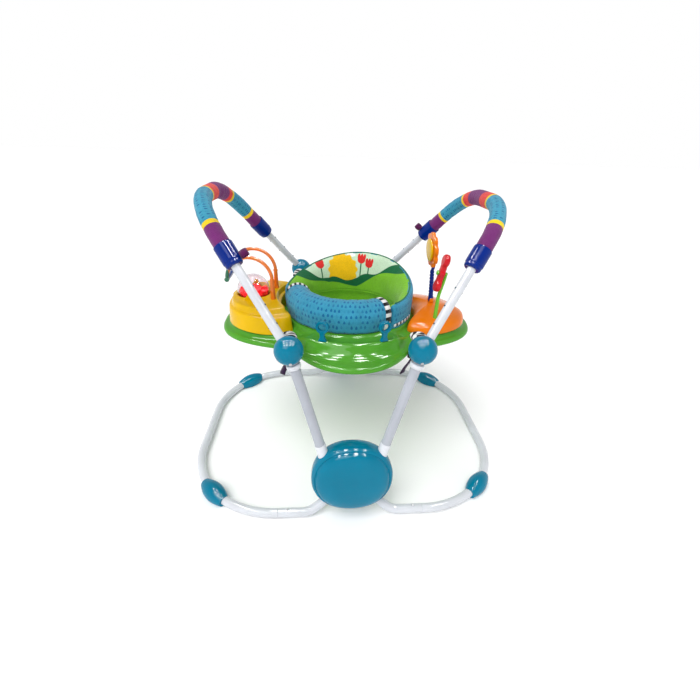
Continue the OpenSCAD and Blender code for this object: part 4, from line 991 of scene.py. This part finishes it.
def bolsterShape(s, deg, w):  # reach and direction from the section's middle, w in degrees round it
    t = min(abs(deg) / (s["span"] + 1.5), 0.999)
    end = (1 - t ** 9) ** 0.5 * 0.3 + 0.7
    c, n = cos(radians(w)), sin(radians(w))
    full = (abs(c) ** 3 + abs(n) ** 3) ** (-1 / 3) if 180 < w < 270 else 1.0
    if 180 < w < 226:
        n *= 1 + 0.62 * smooth((w - 180) / 40)
    elif 226 <= w < 240:
        n *= 1 + 0.62 * smooth((240 - w) / 14)
    return (s["bolsterD"] / 2 - 1.4) * full * end, c, n


def makeBolster(s):
    rows, around = 110, 44

    def place(turn, row):
        t = sin(pi / 2 * (2 * row / (rows - 1) - 1)) * 0.998
        deg = (s["span"] + 1.5) * t
        w = degrees(tau * turn)
        k, c, n = bolsterShape(s, deg, w)
        crease = 2.4 * (exp(-((w - 150) / 7) ** 2) + exp(-((w - 205) / 7) ** 2))
        gather = 0.9 * sin(deg * 1.9 + 2 * sin(deg * 0.31)) * exp(-((w - 178) / 40) ** 2)
        pucker = noise.noise(Vector((deg * 0.13, turn * 6, 1.0))) * 1.7
        pucker += noise.noise(Vector((deg * 0.42, turn * 4, 5.0))) * 1.1
        k += pucker + gather - crease
        ends = min(row, rows - 1 - row)
        k *= (0.62, 0.9)[ends] if ends < 2 else 1.0
        r, z = s["bolsterR"] - k * c, s["bolsterZ"] + k * n
        return seatPoint(r, deg, max(z, s["ring"] - 16) if r > 177 else max(z, s["ring"]))
    obj = finishMesh(skin(around, rows, place, caps=(True, True)), "seatBolster", [bolsterCloth], 1, "seat",
                     ["bolster"])


def makeRibbons(s):
    steps = 36
    for label, deg, first, last in (("Left", -58.0, 20, 150), ("Right", 57.0, 40, 232)):

        def place(turn, row, deg=deg, first=first, last=last):
            w = mix(first, last, row / steps)
            k, c, n = bolsterShape(s, deg, w)
            across = corner(turn, sides) * 2.7
            k += 1.5 + corner(turn, (0, 0, 1.3, 1.3))
            return seatPoint(s["bolsterR"] - k * c, deg + across, max(s["bolsterZ"] + k * n, s["ring"] - 14))
        bm = skin(4, steps + 1, place, caps=(True, True))
        finishMesh(bm, "seatRibbon" + label, [ribbonCloth], 0, "seat")
    hemSteps = 40

    def hem(turn, row):
        high = corner(turn, (0, 0, 1, 1)) * 8 + 3
        r = s["outer"] + corner(turn, (0.9, 2.0, 2.0, 0.9))
        return seatPoint(r, mix(63, 92, row / hemSteps), s["ring"] + high)
    bm = skin(4, hemSteps + 1, hem, caps=(True, True))
    finishMesh(bm, "seatHem", [ribbonCloth], 0, "seat")


def makeSling(s):
    cuff = s["cuff"]
    rows, around = 34, 112
    depth = s["slingTop"] - s["slingZ"]

    def place(turn, row):
        if row < len(cuff):
            return seatPoint(cuff[row][0], turn * 360, cuff[row][1])
        a = pi / 2 * (row - len(cuff)) / (rows - 1) * 0.985
        fold = 1.6 * sin(tau * turn * s["slingFolds"]) * sin(a) * cos(a)
        r = s["slingR"] * cos(a) ** 0.7 - 1.2 + fold
        return seatPoint(max(r, 3), turn * 360, s["slingTop"] - depth * sin(a) ** 1.3)
    bm = skin(around, rows + len(cuff), place, caps=(False, True))
    holes = []
    for sign in (-1, 1):
        axis = seatPoint(1, sign * s["legTurn"], 0)
        holes.append((axis, Vector((-axis.y, axis.x, 0))))
    holeR = s["legHole"] / 2

    def inHole(p):
        return any(p.dot(axis) > 20 and hypot(p.dot(across), p.z - s["legZ"]) < holeR
                   for axis, across in holes)
    gone = [face for face in bm.faces if inHole(face.calc_center_median())]
    bmesh.ops.delete(bm, geom=gone, context="FACES")
    rims = [v for v in bm.verts if v.is_boundary and v.co.z < s["slingTop"] - 6]
    for v in rims:  # the cut edge settles on the round hole
        axis, across = max(holes, key=lambda hole: v.co.dot(hole[0]))
        u, z = v.co.dot(across), v.co.z - s["legZ"]
        k = holeR / max(hypot(u, z), 1)
        v.co += across * (u * k - u) + Vector((0, 0, z * k - z))
    bmesh.ops.smooth_vert(bm, verts=rims, factor=0.2, use_axis_x=True, use_axis_y=True, use_axis_z=True)
    obj = finishMesh(bm, "seatSling", [slingCloth], 1, "seat", ["seat_sling"])
    thick = obj.modifiers.new("cloth", "SOLIDIFY")
    thick.thickness = s["slingT"] * mm
    thick.offset = -1


makeSeatWall(seatSettings)
makeBolster(seatSettings)
makeRibbons(seatSettings)
makeSling(seatSettings)
print("seat sewn")


# suspension: gathered covers and webbing tails
strapSettings = {"angle": 52.5, "buckleT": 12, "buckleW": 30, "buckleH": 34.3, "top": 462, "drop": 28,
                 "ballR": 34, "coverW": 18.5, "coverH": 11, "coverRows": 44, "ruffles": 4.5, "arch": 9,
                 "pinch": 0.3, "tail": 52, "tailSwing": 24, "tailRows": 16, "dropRows": 6, "width": 16}


def bucklePoint(s, sx, sy):
    a = radians(s["angle"])
    arc = s["buckleW"] / lobe(a)
    r = s["buckleT"] / 2 + 0.6 + max(lobe(a + i * arc / 16) * cos(i * arc / 16) for i in range(-8, 9))
    return Vector((sx * r * cos(a), sy * r * sin(a), s["top"]))


def makeStraps(s):
    a = radians(s["angle"])
    for label, sx, sy in corners:
        ball = Vector((sx * archSettings["ballX"], sy * archSettings["ballY"], archSettings["ballZ"]))
        knee = bucklePoint(s, sx, sy) + Vector((0, 0, s["drop"]))
        aim = (knee - ball).normalized()
        start, stop = ball + aim * (s["ballR"] + 0.6), knee - aim * 5
        up = aim.cross(Vector((1, 0, 0)))
        up = up if up.z > 0 else -up
        rows = s["coverRows"]

        def place(turn, row):
            t = row / (rows - 1)
            ruffle = sin(t * tau * s["ruffles"]) * 1.6
            ruffle += noise.noise(Vector((turn * 5, t * 9, sx + 3 * sy))) * 2.0
            pinch = 1 - s["pinch"] * exp(-min(t, 1 - t) * 14)
            c = start.lerp(stop, t) + Vector((0, 0, 2 * (1 - t) + s["arch"] * sin(pi * t)))
            w = tau * turn
            wide, high = (s["coverW"] + ruffle) * pinch, (s["coverH"] + ruffle * 0.8) * pinch
            return c + Vector((1, 0, 0)) * cos(w) * wide + up * sin(w) * high
        bm = skin(36, rows, place, caps=(True, True))
        obj = finishMesh(bm, "strapCover_" + label, [zebraCloth], 1, None,
                         ["strap_covers", "straps"])
        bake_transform(obj)
        out = Vector((sx * cos(a), sy * sin(a), 0))
        across = Vector((0, 0, 1)).cross(out)
        base = bucklePoint(s, sx, sy) - Vector((0, 0, s["buckleH"]))

        def ribbon(name, count, spot):
            def ribbonPlace(turn, row):
                t = row / (count - 1)
                hemmed = name == "strapTail_" and t > 0.86
                wide = corner(turn, sides) * s["width"] / 2
                thick = corner(turn, (-1, -1, 1, 1)) * (1.5 if hemmed else 0.8)
                return spot(t) + out * thick + across * wide
            finishMesh(skin(4, count, ribbonPlace, caps=(True, True)), name + label, [darkWeb], 0, "tray",
                       ["strap_tails"])

        def hang(t):
            sway = noise.noise(Vector((t * 2.2, sx, sy))) * 1.6 * t
            swing = s["tailSwing"] * sin(radians(80 * t)) ** 1.4
            return base + out * sway - Vector((swing, 0, s["tail"] * t))

        def drop(t):
            return bucklePoint(s, sx, sy) + Vector((0, 0, mix(0.3, s["drop"] - 2, t)))
        ribbon("strapTail_", s["tailRows"], hang)
        ribbon("strapDrop_", s["dropRows"], drop)


makeStraps(strapSettings)


# hanging loops of webbing on two caps
loopSettings = {"places": [(-1, 235), (1, 1012.9 - 212)], "cap": 23, "radius": 9, "width": 15, "thick": 1.8}


def makeLoops(s):
    lean = radians(archSettings["lean"])
    steps = 40
    for i, (side, d) in enumerate(s["places"]):
        p = archPoint(archSettings, side, d)
        run = (archPoint(archSettings, side, d + 4) - archPoint(archSettings, side, d - 4)).normalized()
        out = Vector((-side * cos(lean), 0, sin(lean)))
        beside = out.cross(run)

        def place(turn, row):
            w = tau * row / steps
            k = s["radius"] - corner(turn, (0, 0, s["thick"], s["thick"])) + 1.2 * cos(2 * w)
            wide = corner(turn, sides) * s["width"] / 2
            reach = s["cap"] + 0.6 + s["radius"] - k * cos(w)
            return p + out * reach + run * wide + beside * k * sin(w)
        bm = skin(4, steps, place, closed=True)
        finishMesh(bm, "hangLoop" + "LR"[i], [purpleWeb], 0, "frame", ["hang_loops"])


makeLoops(loopSettings)
print("webbing hung")


# floor
def makeFloor():
    bm = bmesh.new()
    bmesh.ops.create_grid(bm, x_segments=1, y_segments=1, size=20000)
    obj = finishMesh(bm, "floor", [])
    mat, tree, shader = startMaterial("paleFloor")
    setInputs(shader, {"Base Color": (0.97, 0.97, 0.97, 1), "Roughness": 0.8})
    obj.data.materials.append(mat)


makeFloor()
print("scene ready")
